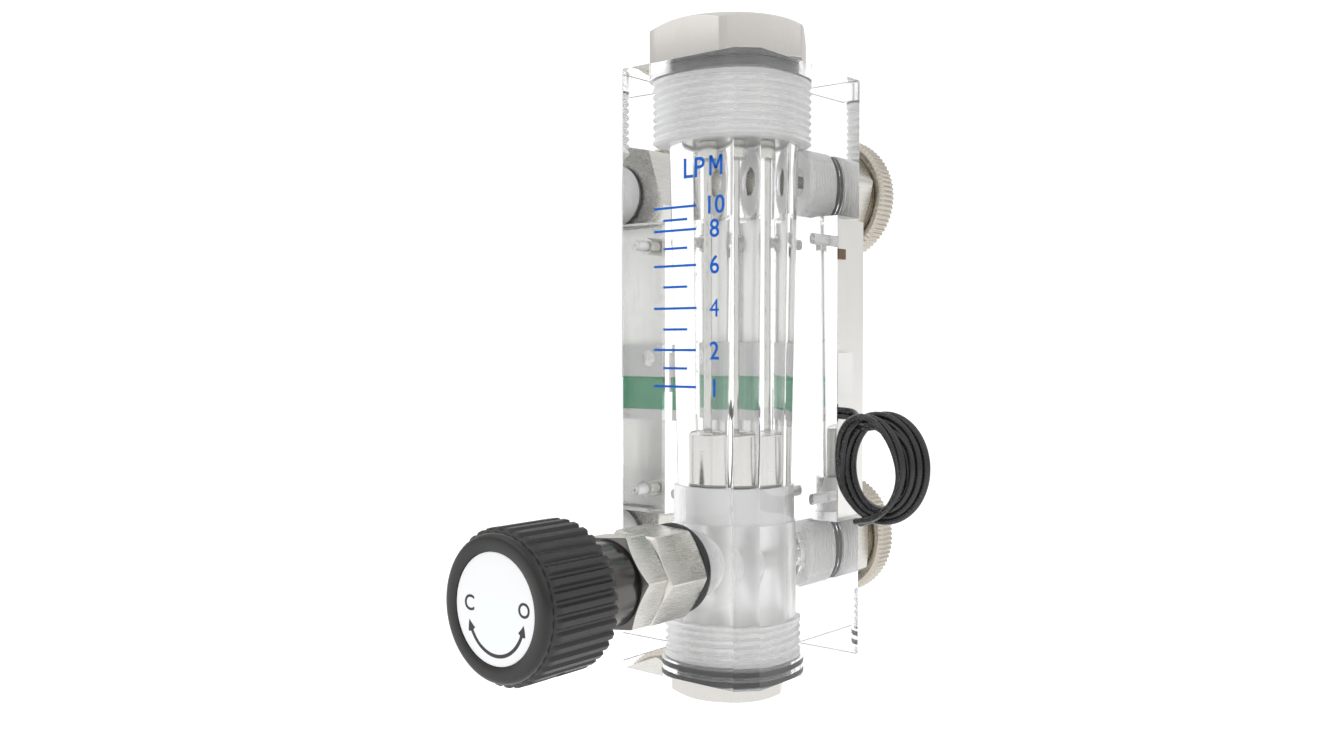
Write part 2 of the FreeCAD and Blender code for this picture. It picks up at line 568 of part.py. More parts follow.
# --- level switch on its rail -------------------------------------------------------------
def switch_rail():
    """Extruded rail: a thick web with a rib along each edge and a clamp groove down its back."""
    side, rib, groove = RAIL_HALF_WIDTH, RAIL_HALF_WIDTH - RAIL_RIB, RAIL_GROOVE_HALF_WIDTH
    groove_y = RAIL_BACK_Y - RAIL_GROOVE_DEPTH
    outline = [(-side, RAIL_FRONT_Y), (-rib, RAIL_FRONT_Y), (-rib, RAIL_WEB_Y),
               (rib, RAIL_WEB_Y), (rib, RAIL_FRONT_Y), (side, RAIL_FRONT_Y),
               (side, RAIL_BACK_Y), (groove, RAIL_BACK_Y), (groove, groove_y),
               (-groove, groove_y), (-groove, RAIL_BACK_Y), (-side, RAIL_BACK_Y)]
    rail = prism([(x, y, RAIL_LOW_Z) for x, y in outline], (0, 0, RAIL_HIGH_Z - RAIL_LOW_Z))
    for z in (INLET_Z, OUTLET_Z):
        rail = rail.cut(rod_y(PORT_HEX / math.sqrt(3) + 0.6, BLOCK_DEPTH - 0.3, RAIL_BACK_Y + 1, z))
    for x, z in RAIL_SCREW_PLACES:
        rail = rail.cut(rod_y(RAIL_SCREW_RADIUS + 0.2, RAIL_WEB_Y - 1, RAIL_BACK_Y + 1, z, x))
        rail = rail.cut(rod_y(RAIL_SCREW_HEAD_RADIUS + 0.2, RAIL_BACK_Y - 2.2, RAIL_BACK_Y + 1,
                              z, x))
    return rail


def rail_screws():
    """Four cap screws through the rail and its spacers into the block."""
    solids = []
    for x, z in RAIL_SCREW_PLACES:
        head = rod_y(RAIL_SCREW_HEAD_RADIUS, RAIL_BACK_Y - 2.2, RAIL_BACK_Y - 0.2, z, x)
        shank = rod_y(RAIL_SCREW_RADIUS, NOTCH_Y - RAIL_SCREW_DEPTH, RAIL_BACK_Y - 2.0, z, x)
        drive = prism([(x + u, RAIL_BACK_Y - 1.4, z + v) for u, v in hexagon(2.0, 0)], (0, 3, 0))
        solids.append(head.fuse(shank).cut(drive).removeSplitter())
    return Part.makeCompound(solids)


def rail_spacers():
    """Four tubes that hold the rail off the notch's wall."""
    solids = []
    for x, z in RAIL_SCREW_PLACES:
        hole = RAIL_SCREW_RADIUS + 0.1
        tube = turned_y([(hole, NOTCH_Y), (RAIL_SPACER_RADIUS, NOTCH_Y),
                         (RAIL_SPACER_RADIUS, RAIL_WEB_Y), (hole, RAIL_WEB_Y)], z, x)
        solids.append(tube)
    return Part.makeCompound(solids)


def slider():
    """Moulded saddle: wide front face, block between the rail's ribs, a cheek over each rib."""
    cheek_inner = RAIL_HALF_WIDTH + SLIDE_GAP
    side = cheek_inner + CHEEK_THICKNESS
    cheek_front = SLIDER_FRONT_Y + CHEEK_STEP
    face = box(-RAIL_HALF_WIDTH - 0.2, RAIL_HALF_WIDTH + 0.2, SLIDER_FRONT_Y,
               RAIL_FRONT_Y - SLIDE_GAP, SLIDER_LOW_Z, SLIDER_HIGH_Z)
    inner = RAIL_HALF_WIDTH - RAIL_RIB - SLIDE_GAP
    core = box(-inner, inner, RAIL_FRONT_Y - 1, RAIL_WEB_Y - SLIDE_GAP, SLIDER_LOW_Z, SLIDER_HIGH_Z)
    body = face.fuse(core)
    for sign in (-1, 1):
        low_x, high_x = sorted((sign * cheek_inner, sign * side))
        root_x, tip_x = sorted((sign * (RAIL_HALF_WIDTH - 1), sign * side))
        cheek = box(low_x, high_x, cheek_front, RAIL_WEB_Y, CHEEK_LOW_Z, CHEEK_HIGH_Z)
        bridge = box(root_x, tip_x, cheek_front, RAIL_FRONT_Y - SLIDE_GAP,
                     CHEEK_LOW_Z, CHEEK_HIGH_Z)
        body = body.fuse([cheek, bridge])
    board = box(-RAIL_HALF_WIDTH - 1, RAIL_HALF_WIDTH + 1, SLIDER_FRONT_Y - 1,
                BOARD_BACK_Y, STRIPE_LOW_Z, STRIPE_HIGH_Z)
    step = box(-side - 1, side + 1, SLIDER_FRONT_Y - 1, cheek_front, STRIPE_LOW_Z, STRIPE_HIGH_Z)
    reed = Part.makeCylinder(REED_RADIUS + 0.1, 18, FreeCAD.Vector(-9, REED_Y, REED_Z), X)
    outlet = box(GROMMET_INNER_X, side + 1, BOARD_BACK_Y, RAIL_FRONT_Y,
                 CORD_Z - GROMMET_HALF_HEIGHT, CORD_Z + GROMMET_HALF_HEIGHT)
    clamp = rod_y(CLAMP_RADIUS + THREAD_GAP, SLIDER_FRONT_Y - 1, RAIL_WEB_Y + 1, CLAMP_Z, CLAMP_X)
    return body.cut(board.fuse(step)).cut(reed).cut(outlet).cut(clamp)


def switch_board():
    """Green circuit board let into the slider's face."""
    return box(-RAIL_HALF_WIDTH - 0.2, RAIL_HALF_WIDTH + 0.2, SLIDER_FRONT_Y + 0.1,
               BOARD_BACK_Y, STRIPE_LOW_Z, STRIPE_HIGH_Z)


def reed_switch():
    """Glass reed capsule in the slider's cross bore."""
    bulb = Part.makeCylinder(REED_RADIUS, 14, FreeCAD.Vector(-7, REED_Y, REED_Z), X)
    lead = Part.makeCylinder(0.3, 17.6, FreeCAD.Vector(-8.8, REED_Y, REED_Z), X)
    return bulb.fuse(lead)


def slider_screw():
    """Domed clamp screw that locks the slider on the rail's web."""
    crown, foot = SLIDER_FRONT_Y - 0.35, RAIL_WEB_Y - 0.3
    return turned_y([(0, crown), (CLAMP_HEAD_RADIUS, SLIDER_FRONT_Y),
                     (CLAMP_RADIUS, SLIDER_FRONT_Y), (CLAMP_RADIUS, foot), (0, foot)],
                    CLAMP_Z, CLAMP_X)


def cable_grommet():
    """Rubber sleeve where the cable leaves the slider's side."""
    half = GROMMET_HALF_HEIGHT
    sleeve = box(GROMMET_INNER_X, CORD_ROUTE[0][0], BOARD_BACK_Y, GROMMET_BACK_Y,
                 CORD_Z - half, CORD_Z + half)
    long_edges = [edge for edge in sleeve.Edges if edge.Length > 2 * half + 0.1]
    return sleeve.makeFillet(0.5, long_edges)


def slider_stop():
    """Clip over the right-hand rib's front edge that ends the slider's travel."""
    clip = box(RAIL_HALF_WIDTH - RAIL_RIB - 0.6, RAIL_HALF_WIDTH + 0.7, RAIL_FRONT_Y - 1.2,
               RAIL_FRONT_Y + 2.6, STOP_LOW_Z, STOP_LOW_Z + STOP_HEIGHT)
    rib = box(RAIL_HALF_WIDTH - RAIL_RIB, RAIL_HALF_WIDTH, RAIL_FRONT_Y, RAIL_FRONT_Y + 4,
              STOP_LOW_Z - 1, STOP_LOW_Z + STOP_HEIGHT + 1)
    return clip.cut(rib)


# --- cable --------------------------------------------------------------------------------
def rounded_route(points):
    """Straight runs joined by tangent arcs; each arc takes 0.45 of its shorter run."""
    nodes = [FreeCAD.Vector(*p) for p in points]
    edges = []
    start = nodes[0]
    for before, corner, after in zip(nodes, nodes[1:], nodes[2:]):
        shorter = min(corner.distanceToPoint(before), corner.distanceToPoint(after))
        back = (before - corner).normalize()
        ahead = (after - corner).normalize()
        half_turn = (math.pi - back.getAngle(ahead)) / 2
        reach = 0.45 * shorter
        radius = reach / math.tan(half_turn)
        print("cable bend radius", round(radius, 2))
        entry = corner + back * reach
        leave = corner + ahead * reach
        middle_way = (back + ahead).normalize()
        middle = corner + middle_way * (math.hypot(radius, reach) - radius)
        edges.append(Part.LineSegment(start, entry).toShape())
        edges.append(Part.Arc(entry, middle, leave).toShape())
        start = leave
    edges.append(Part.LineSegment(start, nodes[-1]).toShape())
    return Part.Wire(edges)


def switch_cable():
    """Stretch of cable from the slider's side to the coil."""
    path = rounded_route(CORD_ROUTE)
    x, y, z = CORD_ROUTE[0]
    flat = CORD_HALF_WIDTH - CORD_HALF_THICKNESS
    round_side = CORD_HALF_THICKNESS
    corners = [FreeCAD.Vector(x, y - round_side, z - flat), FreeCAD.Vector(x, y - round_side, z + flat),
               FreeCAD.Vector(x, y, z + flat + round_side), FreeCAD.Vector(x, y + round_side, z + flat),
               FreeCAD.Vector(x, y + round_side, z - flat), FreeCAD.Vector(x, y, z - flat - round_side)]
    outline = Part.Wire([Part.LineSegment(corners[0], corners[1]).toShape(),
                         Part.Arc(corners[1], corners[2], corners[3]).toShape(),
                         Part.LineSegment(corners[3], corners[4]).toShape(),
                         Part.Arc(corners[4], corners[5], corners[0]).toShape()])
    tube = path.makePipeShell([outline], True, False)
    section = math.pi * round_side ** 2 + 4 * flat * round_side
    print("cable tube", round(tube.Volume, 1), "against", round(section * path.Length, 1))
    return tube


def cable_coil():
    """Outer form of the knotted ring of cable: a fat ring that hangs beside the block."""
    ring = Part.makeTorus(COIL_RADIUS, COIL_SECTION, FreeCAD.Vector(*COIL_CENTRE), Y)
    ring.rotate(FreeCAD.Vector(*COIL_CENTRE), Z, COIL_TURN)
    return ring


# --- build --------------------------------------------------------------------------------
def main():
    os.makedirs("parts", exist_ok=True)
    export("acrylic_block", acrylic_block())
    export("top_plug", top_plug())
    top_neck, bottom_neck = TOP_THREAD_RADIUS - SEAL_RELIEF, BOTTOM_THREAD_RADIUS - SEAL_RELIEF
    export("top_plug_o_ring", o_ring_z(top_neck, BLOCK_HEIGHT - SEAL_DEPTH / 2))
    export("bottom_plug", bottom_plug())
    export("bottom_plug_o_ring", o_ring_z(bottom_neck, SEAL_DEPTH / 2))
    export("guide_rod", rod_z(ROD_RADIUS, CHAMBER_HIGH_Z, ROD_HIGH_Z))
    export("rod_stop_sleeve", rod_stop_sleeve())
    export("float_seat", float_seat())
    export("float_body", float_body())
    export("float_magnet", float_magnet())
    export("float_cap", float_cap())
    for side, z, turn in (("upper", OUTLET_Z, UPPER_HEX_TURN), ("lower", INLET_Z, LOWER_HEX_TURN)):
        export(side + "_port_adapter", port_adapter(z, turn))
        seal_y = BLOCK_DEPTH - PORT_SEAL_DEPTH / 2
        port_seal_radius = PORT_THREAD_RADIUS - 0.25
        export(side + "_port_o_ring", o_ring_y(port_seal_radius, PORT_SEAL_SECTION, seal_y, z))
        export(side + "_panel_nut", panel_nut(z))
        export(side + "_panel_washer", panel_washer(z))
    export("valve_body", valve_body())
    export("valve_body_o_ring", o_ring_y(VALVE_SEAL_MIDDLE_RADIUS, VALVE_SEAL_SECTION,
                                         VALVE_BODY_REAR_Y / 2, INLET_Z))
    export("valve_bonnet", valve_bonnet())
    export("bonnet_collar", bonnet_collar())
    export("valve_seat", valve_seat())
    export("valve_stem", valve_stem())
    export("stem_o_ring", o_ring_y(3.85, 0.75, -6.0, INLET_Z))
    export("knob", knob())
    export("knob_insert", knob_insert())
    export("knob_set_screw", knob_set_screw())
    export("knob_label", knob_label())
    export("switch_rail", switch_rail())
    export("rail_screws", rail_screws())
    export("rail_spacers", rail_spacers())
    export("slider_stop", slider_stop())
    export("slider", slider())
    export("switch_board", switch_board())
    export("reed_switch", reed_switch())
    export("slider_screw", slider_screw())
    export("cable_grommet", cable_grommet())
    export("switch_cable", switch_cable())
    export("cable_coil", cable_coil())


main()
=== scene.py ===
"""Clear-block flow meter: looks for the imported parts."""

import math

import bmesh
import bpy
import numpy as np
from mathutils import Matrix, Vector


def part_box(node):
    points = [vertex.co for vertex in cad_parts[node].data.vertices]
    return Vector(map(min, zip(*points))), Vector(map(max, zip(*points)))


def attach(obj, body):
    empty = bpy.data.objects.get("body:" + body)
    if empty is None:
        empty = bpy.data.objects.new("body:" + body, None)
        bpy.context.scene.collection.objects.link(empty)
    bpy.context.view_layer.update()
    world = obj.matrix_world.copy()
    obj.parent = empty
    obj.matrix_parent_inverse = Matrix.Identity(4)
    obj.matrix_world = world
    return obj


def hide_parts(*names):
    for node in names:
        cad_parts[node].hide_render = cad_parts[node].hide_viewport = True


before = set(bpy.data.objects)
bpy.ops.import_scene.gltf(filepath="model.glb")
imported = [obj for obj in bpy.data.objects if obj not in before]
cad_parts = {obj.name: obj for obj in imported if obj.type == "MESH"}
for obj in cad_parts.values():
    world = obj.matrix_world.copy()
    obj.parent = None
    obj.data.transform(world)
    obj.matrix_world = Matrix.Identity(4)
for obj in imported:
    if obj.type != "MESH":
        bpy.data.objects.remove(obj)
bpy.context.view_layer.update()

# --- Bench, light and view -----------------------------------------------------------------
# The meter is seen from its right front on a white sweep under broad soft lights. Sizes below
# are millimetres from the drawing datum: the block's foot, its front face and its middle.
MM = 0.001
block_low = np.array(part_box("acrylic_block")[0])
datum = np.array([0.0, block_low[1], block_low[2]])

camera = bpy.data.objects.new("camera", bpy.data.cameras.new("camera"))
bpy.context.collection.objects.link(camera)
camera.data.lens = 32.32
camera.data.clip_start = 0.01
camera_turn = (Matrix.Rotation(math.radians(39.74), 4, "Z")
               @ Matrix.Rotation(math.radians(88.80), 4, "X"))
camera.matrix_world = Matrix.Translation(datum + MM * np.array([191.7, -237.1, 86.2])) @ camera_turn
bpy.context.scene.camera = camera
bpy.context.scene.view_settings.view_transform = "Standard"
bpy.context.scene.cycles.max_bounces = 32
bpy.context.scene.cycles.transmission_bounces = 32
bpy.context.scene.cycles.glossy_bounces = 12
bpy.context.scene.cycles.diffuse_bounces = 5


def soft_box(name, place, aim, size, watts):
    """Square area light at place, in millimetres, turned to look at aim."""
    lamp = bpy.data.objects.new(name, bpy.data.lights.new(name, "AREA"))
    lamp.data.size = size
    lamp.data.energy = watts
    start, end = datum + MM * np.array(place), datum + MM * np.array(aim)
    look = Matrix.Translation(end - start).to_translation()
    lamp.rotation_euler = look.to_track_quat("-Z", "Y").to_euler()
    lamp.location = start
    bpy.context.collection.objects.link(lamp)


soft_box("front_lamp", (-320, -520, 620), (0, 0, 70), 0.60, 0.7)
soft_box("right_lamp", (520, 160, 520), (0, 20, 70), 0.50, 0.25)

world = bpy.data.worlds.new("studio")
bpy.context.scene.world = world
world.use_nodes = True
sky = world.node_tree
sky.nodes.clear()
direction = sky.nodes.new("ShaderNodeTexCoord")
split = sky.nodes.new("ShaderNodeSeparateXYZ")
ramp = sky.nodes.new("ShaderNodeValToRGB")
lift = sky.nodes.new("ShaderNodeMapRange")
rays = sky.nodes.new("ShaderNodeLightPath")
straight = sky.nodes.new("ShaderNodeMath")
mix = sky.nodes.new("ShaderNodeMix")
backdrop = sky.nodes.new("ShaderNodeBackground")
out = sky.nodes.new("ShaderNodeOutputWorld")
sky.links.new(direction.outputs["Generated"], split.inputs[0])
lift.inputs["From Min"].default_value = -1.0
sky.links.new(split.outputs["Z"], lift.inputs["Value"])
sky.links.new(lift.outputs[0], ramp.inputs[0])
ramp.color_ramp.elements[0].position = 0.30
ramp.color_ramp.elements[0].color = (0.50, 0.495, 0.48, 1)
ramp.color_ramp.elements[1].position = 0.85
ramp.color_ramp.elements[1].color = (1.0, 1.0, 1.0, 1)
middle = ramp.color_ramp.elements.new(0.50)
middle.color = (0.70, 0.69, 0.675, 1)
straight.operation = "MAXIMUM"
sky.links.new(rays.outputs["Is Camera Ray"], straight.inputs[0])
sky.links.new(rays.outputs["Is Transmission Ray"], straight.inputs[1])
mix.data_type = "RGBA"
mix.inputs[7].default_value = (1.2, 1.2, 1.2, 1)
sky.links.new(straight.outputs[0], mix.inputs[0])
sky.links.new(ramp.outputs[0], mix.inputs[6])
sky.links.new(mix.outputs[2], backdrop.inputs["Color"])
sky.links.new(backdrop.outputs[0], out.inputs["Surface"])


def face_list(index):
    """Quads between neighbouring rows of a grid of vertex numbers whose columns go round."""
    after = np.roll(index, -1, axis=1)
    return np.stack([index[:-1], after[:-1], after[1:], index[1:]], -1).reshape(-1, 4)


def skin(name, points, closed=False, sharp=28.0):
    """Closed skin over a grid of points in millimetres, rows by columns, columns going round.

    The first and last rows are poles where all their points are one, or closed joins the last
    row to the first. The side that faces out is found from the sign of the volume
    sum(a . (b x c)) / 6 over the faces.
    """
    rows, columns = points.shape[:2]
    index = np.arange(rows * columns).reshape(rows, columns)
    if closed:
        quads, fans = face_list(np.vstack([index, index[:1]])), np.zeros((0, 3), int)
    else:
        index[0], index[-1] = index[0, 0], index[-1, 0]
        quads = face_list(index[1:-1])
        first, last = face_list(index[:2])[:, [0, 2, 3]], face_list(index[-2:])[:, [0, 1, 2]]
        fans = np.vstack([first, last])
    used, place = np.unique(np.concatenate([quads.ravel(), fans.ravel()]), return_inverse=True)
    vertices = datum + MM * points.reshape(-1, 3)[used]
    quads, fans = place[:quads.size].reshape(-1, 4), place[quads.size:].reshape(-1, 3)
    corners = np.vstack([quads[:, [0, 1, 2]], quads[:, [0, 2, 3]], fans])
    a, b, c = (vertices[corners[:, k]] - vertices.mean(0) for k in range(3))
    if np.einsum("ij,ij->i", a, np.cross(b, c)).sum() < 0:
        quads, fans = quads[:, ::-1], fans[:, ::-1]
    mesh = bpy.data.meshes.new(name)
    mesh.from_pydata(vertices.tolist(), [], quads.tolist() + fans.tolist())
    mesh.polygons.foreach_set("use_smooth", np.ones(len(mesh.polygons), bool))
    mesh.set_sharp_from_angle(angle=math.radians(sharp))
    piece = bpy.data.objects.new(name, mesh)
    bpy.context.collection.objects.link(piece)
    return piece


def plain_finish(name, color, roughness, metallic=0.0):
    """New material; colour, roughness and metal are set on the shader's own sockets."""
    finish = bpy.data.materials.new(name)
    finish.use_nodes = True
    shader = finish.node_tree.nodes["Principled BSDF"]
    shader.inputs["Base Color"].default_value = (*color, 1)
    shader.inputs["Roughness"].default_value = roughness
    shader.inputs["Metallic"].default_value = metallic
    return finish, finish.node_tree, shader


def grain(tree, shader, scale, stretch, low, high, bump=0.0, depth=0.0001, centre=(0, 0, 0)):
    """Noise in object space, stretched by axis, drives roughness from low to high and a bump."""
    place = tree.nodes.new("ShaderNodeTexCoord")
    turn = tree.nodes.new("ShaderNodeMapping")
    noise = tree.nodes.new("ShaderNodeTexNoise")
    level = tree.nodes.new("ShaderNodeMapRange")
    turn.inputs["Location"].default_value = centre
    turn.inputs["Scale"].default_value = stretch
    noise.inputs["Scale"].default_value = scale
    noise.inputs["Detail"].default_value = 6.0
    level.inputs["To Min"].default_value = low
    level.inputs["To Max"].default_value = high
    level.inputs["From Min"].default_value = 0.3
    level.inputs["From Max"].default_value = 0.7
    tree.links.new(place.outputs["Object"], turn.inputs[0])
    tree.links.new(turn.outputs[0], noise.inputs["Vector"])
    tree.links.new(noise.outputs[0], level.inputs["Value"])
    tree.links.new(level.outputs[0], shader.inputs["Roughness"])
    if bump:
        relief = tree.nodes.new("ShaderNodeBump")
        relief.inputs["Strength"].default_value = bump
        relief.inputs["Distance"].default_value = depth
        tree.links.new(noise.outputs[0], relief.inputs["Height"])
        tree.links.new(relief.outputs[0], shader.inputs["Normal"])
    return noise


floor_z = -62.0
floor = bpy.data.objects.new("floor", bpy.data.meshes.new("floor"))
reach = 4000.0
corners = datum + MM * np.array([(x * reach, y * reach, floor_z) for x, y in
                                 ((-1, -1), (1, -1), (1, 1), (-1, 1))])
floor.data.from_pydata(corners.tolist(), [], [(0, 1, 2, 3)])
bpy.context.collection.objects.link(floor)
floor_white, _, shader = plain_finish("floor_white", (0.93, 0.93, 0.93), 0.9)
shader.inputs["Emission Color"].default_value = (1, 1, 1, 1)
shader.inputs["Emission Strength"].default_value = 0.35
floor.data.materials.append(floor_white)

# --- Switch cable and its coil ---------------------------------------------------------------
# Flat twin-core cable, black soft PVC, two 1.65 mm cores side by side. It leaves the slider,
# winds two and a half turns beside the block, then crosses them for most of another turn and
# ends cut below the bundle.
core = 0.85
cable_run = [(21.2, 43.7, 67.9), (24.4, 43.7, 67.9), (27.53, 43.06, 67.43), (30.0, 42.1, 66.9)]
coil_centre = np.array([39.2, 36.8, 54.9])
coil_swing = math.radians(-16.0)
coil_axis = np.array([-math.sin(coil_swing), math.cos(coil_swing), 0.0])
coil_side = np.array([math.cos(coil_swing), math.sin(coil_swing), 0.0])


def in_coil(radius, degrees, forward):
    """Points of the coil: radius and angle in its plane, and how far they stand forward of it."""
    turn = np.radians(degrees)
    level = np.outer(radius * np.cos(turn), coil_side) - np.outer(forward, coil_axis)
    level[:, 2] = radius * np.sin(turn)
    return coil_centre + level


lead = in_coil(np.array([11.6, 10.9, 10.8]), np.array([118.0, 86.0, 56.0]),
               np.array([3.0, 3.2, 2.6]))
wind = np.arange(30.0, -885.0, -24.0)
turn_number = (30.0 - wind) / 360.0
right, left, upright = (np.cos(np.radians(wind)) + 1) / 2, (1 - np.cos(np.radians(wind))) / 2, \
    np.sin(np.radians(wind)) ** 2
turns = in_coil(11.2 + 1.2 * turn_number - left * (0.7 + 0.1 * turn_number)
                + upright * (0.3 + 0.3 * turn_number), wind,
                right * (1.3 - 1.4 * turn_number) + left * (-0.3 + 1.4 * turn_number))
over = in_coil(np.array([13.4, 13.8, 13.6, 12.2, 10.8, 10.1, 10.3, 11.2, 12.6, 14.6, 16.8]),
               np.array([153.0, 127.0, 98.0, 67.0, 35.0, 0.0, -30.0, -58.0, -80.0, -100.0, -114.0]),
               np.array([3.4, 3.9, 4.6, 4.6, 4.0, 3.2, 3.0, 3.1, 2.9, 2.5, 2.0]))
cable_points = np.vstack([np.array(cable_run[:3]), lead, turns, over])
cable_line = bpy.data.curves.new("cable_line", "CURVE")
cable_line.dimensions = "3D"
spline = cable_line.splines.new("NURBS")
spline.points.add(len(cable_points) - 1)
metres = datum + MM * cable_points
spline.points.foreach_set("co", np.column_stack([metres, np.ones(len(metres))]).ravel())
spline.order_u = 3
spline.use_endpoint_u = True
spline.resolution_u = 6
line_object = bpy.data.objects.new("cable_line", cable_line)
line_mesh = bpy.data.meshes.new_from_object(line_object)
path = np.zeros(len(line_mesh.vertices) * 3)
line_mesh.vertices.foreach_get("co", path)
path = path.reshape(-1, 3)
bpy.data.objects.remove(line_object)

along = np.gradient(path, axis=0)
along /= np.linalg.norm(along, axis=1)[:, None]
run = np.concatenate([[0], np.cumsum(np.linalg.norm(np.diff(path, axis=0), axis=1))])
wide = np.cross(along, coil_axis)
wide /= np.linalg.norm(wide, axis=1)[:, None]
thick = np.cross(wide, along)
arm = (path - datum) / MM - coil_centre
bearing = np.unwrap(np.arctan2(arm[:, 2], arm @ coil_side))
twist = math.pi + (bearing - math.pi) * np.clip((run - 0.006) / 0.02, 0, 1)
wide, thick = (wide * np.cos(twist)[:, None] + thick * np.sin(twist)[:, None],
               thick * np.cos(twist)[:, None] - wide * np.sin(twist)[:, None])
sides = 40
angle = 2 * math.pi * np.arange(sides) / sides
apart = 0.79
outline = apart * np.abs(np.cos(angle)) + np.sqrt(core ** 2 - (apart * np.sin(angle)) ** 2)
across, rise = outline * np.cos(angle), outline * np.sin(angle)
rings = (path[:, None, :] + MM * (across[None, :, None] * wide[:, None, :]
                                  + rise[None, :, None] * thick[:, None, :]))
first_cap = np.repeat(path[None, :1], sides, axis=1)
last_cap = np.repeat(path[None, -1:], sides, axis=1)
cable = skin("cable", (np.concatenate([first_cap, rings, last_cap]) - datum) / MM, sharp=70.0)
cable_black, tree, shader = plain_finish("cable_black", (0.02, 0.02, 0.022), 0.25)
grain(tree, shader, 900.0, (1, 1, 1), 0.2, 0.3, bump=0.06, depth=0.00008)
cable.data.materials.append(cable_black)
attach(cable, "slider")
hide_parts("switch_cable", "cable_coil")

# --- Clear block -----------------------------------------------------------------------------
# Cast acrylic, sawn, milled and polished outside. The metering bore, both tapped ends, the
# rear ports and the valve port are drilled from solid. Taps leave their threads frosted, and
# the seals' seats at both ends are a little hazy.
block_width, block_depth, block_height, front_bevel = 46.0, 52.5, 160.0, 4.75
tube_y, inlet_z, outlet_z = 23.0, 29.0, 131.0
notch_y, notch_low, notch_high = 41.0, 38.3, 121.7


def around(radius, along, axis, centre, angle=None):
    """Points at a radius and a height along an axis, both rows by columns, all the way round.

    Axis "Z" is upright through centre (x, y); "Y" runs front to back through (x, z).
    """
    radius, along = np.broadcast_arrays(radius, along)
    if angle is None:
        angle = 2 * math.pi * np.arange(radius.shape[1]) / radius.shape[1]
    u, v = centre[0] + radius * np.cos(angle), centre[1] + radius * np.sin(angle)
    return np.stack([u, v, along] if axis == "Z" else [u, along, v], -1)


def eased(profile, ease, steps=3):
    """Profile of corner points, one row each, with every inner corner rounded.

    A corner becomes a quadratic curve (1-t)^2 a + 2t(1-t) corner + t^2 b between points a and
    b that stand at most ease, or 0.45 of the run, before and after it.
    """
    corner = profile[1:-1]
    back, ahead = profile[:-2] - corner, profile[2:] - corner
    for run in (back, ahead):
        length = np.linalg.norm(run, axis=-1, keepdims=True) + 1e-9
        run *= np.minimum(ease / length, 0.45)
    t = np.linspace(0, 1, steps + 1).reshape((1, -1) + (1,) * (profile.ndim - 1))
    a, b, middle = ((corner + shift)[:, None] for shift in (back, ahead, 0 * back))
    curve = (1 - t) ** 2 * a + 2 * t * (1 - t) * middle + t ** 2 * b
    return np.concatenate([profile[:1], curve.reshape((-1,) + profile.shape[1:]), profile[-1:]])


def turned(name, profile, axis, centre, ease=0.15, columns=96, closed=False, sharp=40.0):
    """Lathe-turned piece: eased (radius, height) profile carried round its axis."""
    outline = np.array(profile, float)
    if closed:
        outline = np.vstack([outline, outline[:2]])
        outline = eased(outline, ease)[1:-1]
    else:
        outline = eased(outline, ease)
    radius = np.repeat(outline[:, :1], columns, axis=1)
    return skin(name, around(radius, outline[:, 1:], axis, centre), closed, sharp)


def threaded(radius, low, high, pitch, depth, columns=96):
    """Rows of a 60-degree thread: radius - depth * triangle(height / pitch - turn)."""
    rows = int((high - low) / pitch * 8) + 1
    along = np.linspace(low, high, rows)[:, None]
    phase = (along / pitch - np.arange(columns)[None, :] / columns) % 1.0
    ridge = np.clip(1.25 * np.abs(2 * phase - 1) - 0.125, 0, 1)
    fade = np.clip(np.minimum(along - low, high - along) / (0.8 * pitch), 0, 1)
    return radius - depth * (1 - ridge) * fade, np.repeat(along, columns, axis=1)


def stack_rows(rows, columns=96):
    """Rows of (radius, height), plain numbers or thread arrays, as two full arrays."""
    radius = np.vstack([np.broadcast_to(np.atleast_2d(r), (np.atleast_2d(r).shape[0], columns))
                        for r, _ in rows])
    along = np.vstack([np.broadcast_to(np.atleast_2d(h), (np.atleast_2d(h).shape[0], columns))
                       for _, h in rows])
    return radius, along


def cutter(name, rows, axis, centre, finish):
    """Tool body for the block: rows are (radius, height) pairs or thread arrays.

    Each tool is turned a little further round its axis than the last, so that no two share an
    edge line: shared edges leave open seams and stray faces in the cut block.
    """
    radius, along = stack_rows(rows)
    columns = radius.shape[1]
    first_turn, next_turn = 0.11, 0.37
    angle = (2 * math.pi * np.arange(columns) / columns
             + math.radians(first_turn + next_turn * len(tools)))
    tool = skin(name, around(radius, along, axis, centre, angle))
    tool.data.materials.append(finish)
    return tool


acrylic_polish, tree, shader = plain_finish("acrylic_polish", (0.985, 0.99, 0.99), 0.0)
shader.inputs["Transmission Weight"].default_value = 1.0
shader.inputs["IOR"].default_value = 1.49
acrylic_bore, tree, shader = plain_finish("acrylic_bore", (0.97, 0.975, 0.975), 0.05)
shader.inputs["Transmission Weight"].default_value = 1.0
shader.inputs["IOR"].default_value = 1.49
grain(tree, shader, 300.0, (1, 1, 0.08), 0.02, 0.09)
acrylic_thread, tree, shader = plain_finish("acrylic_thread", (0.985, 0.985, 0.985), 0.45)
shader.inputs["Transmission Weight"].default_value = 0.35
shader.inputs["IOR"].default_value = 1.49
grain(tree, shader, 2600.0, (1, 1, 1), 0.38, 0.55, bump=0.15, depth=0.00004)
acrylic_sawn, tree, shader = plain_finish("acrylic_sawn", (0.985, 0.985, 0.985), 0.4)
shader.inputs["Transmission Weight"].default_value = 0.62
shader.inputs["IOR"].default_value = 1.49
grain(tree, shader, 900.0, (1, 1, 0.3), 0.28, 0.5, bump=0.1, depth=0.00004)
acrylic_haze, tree, shader = plain_finish("acrylic_haze", (0.97, 0.975, 0.985), 0.15)
shader.inputs["Transmission Weight"].default_value = 0.85
shader.inputs["IOR"].default_value = 1.49
grain(tree, shader, 900.0, (1, 1, 0.3), 0.1, 0.2)
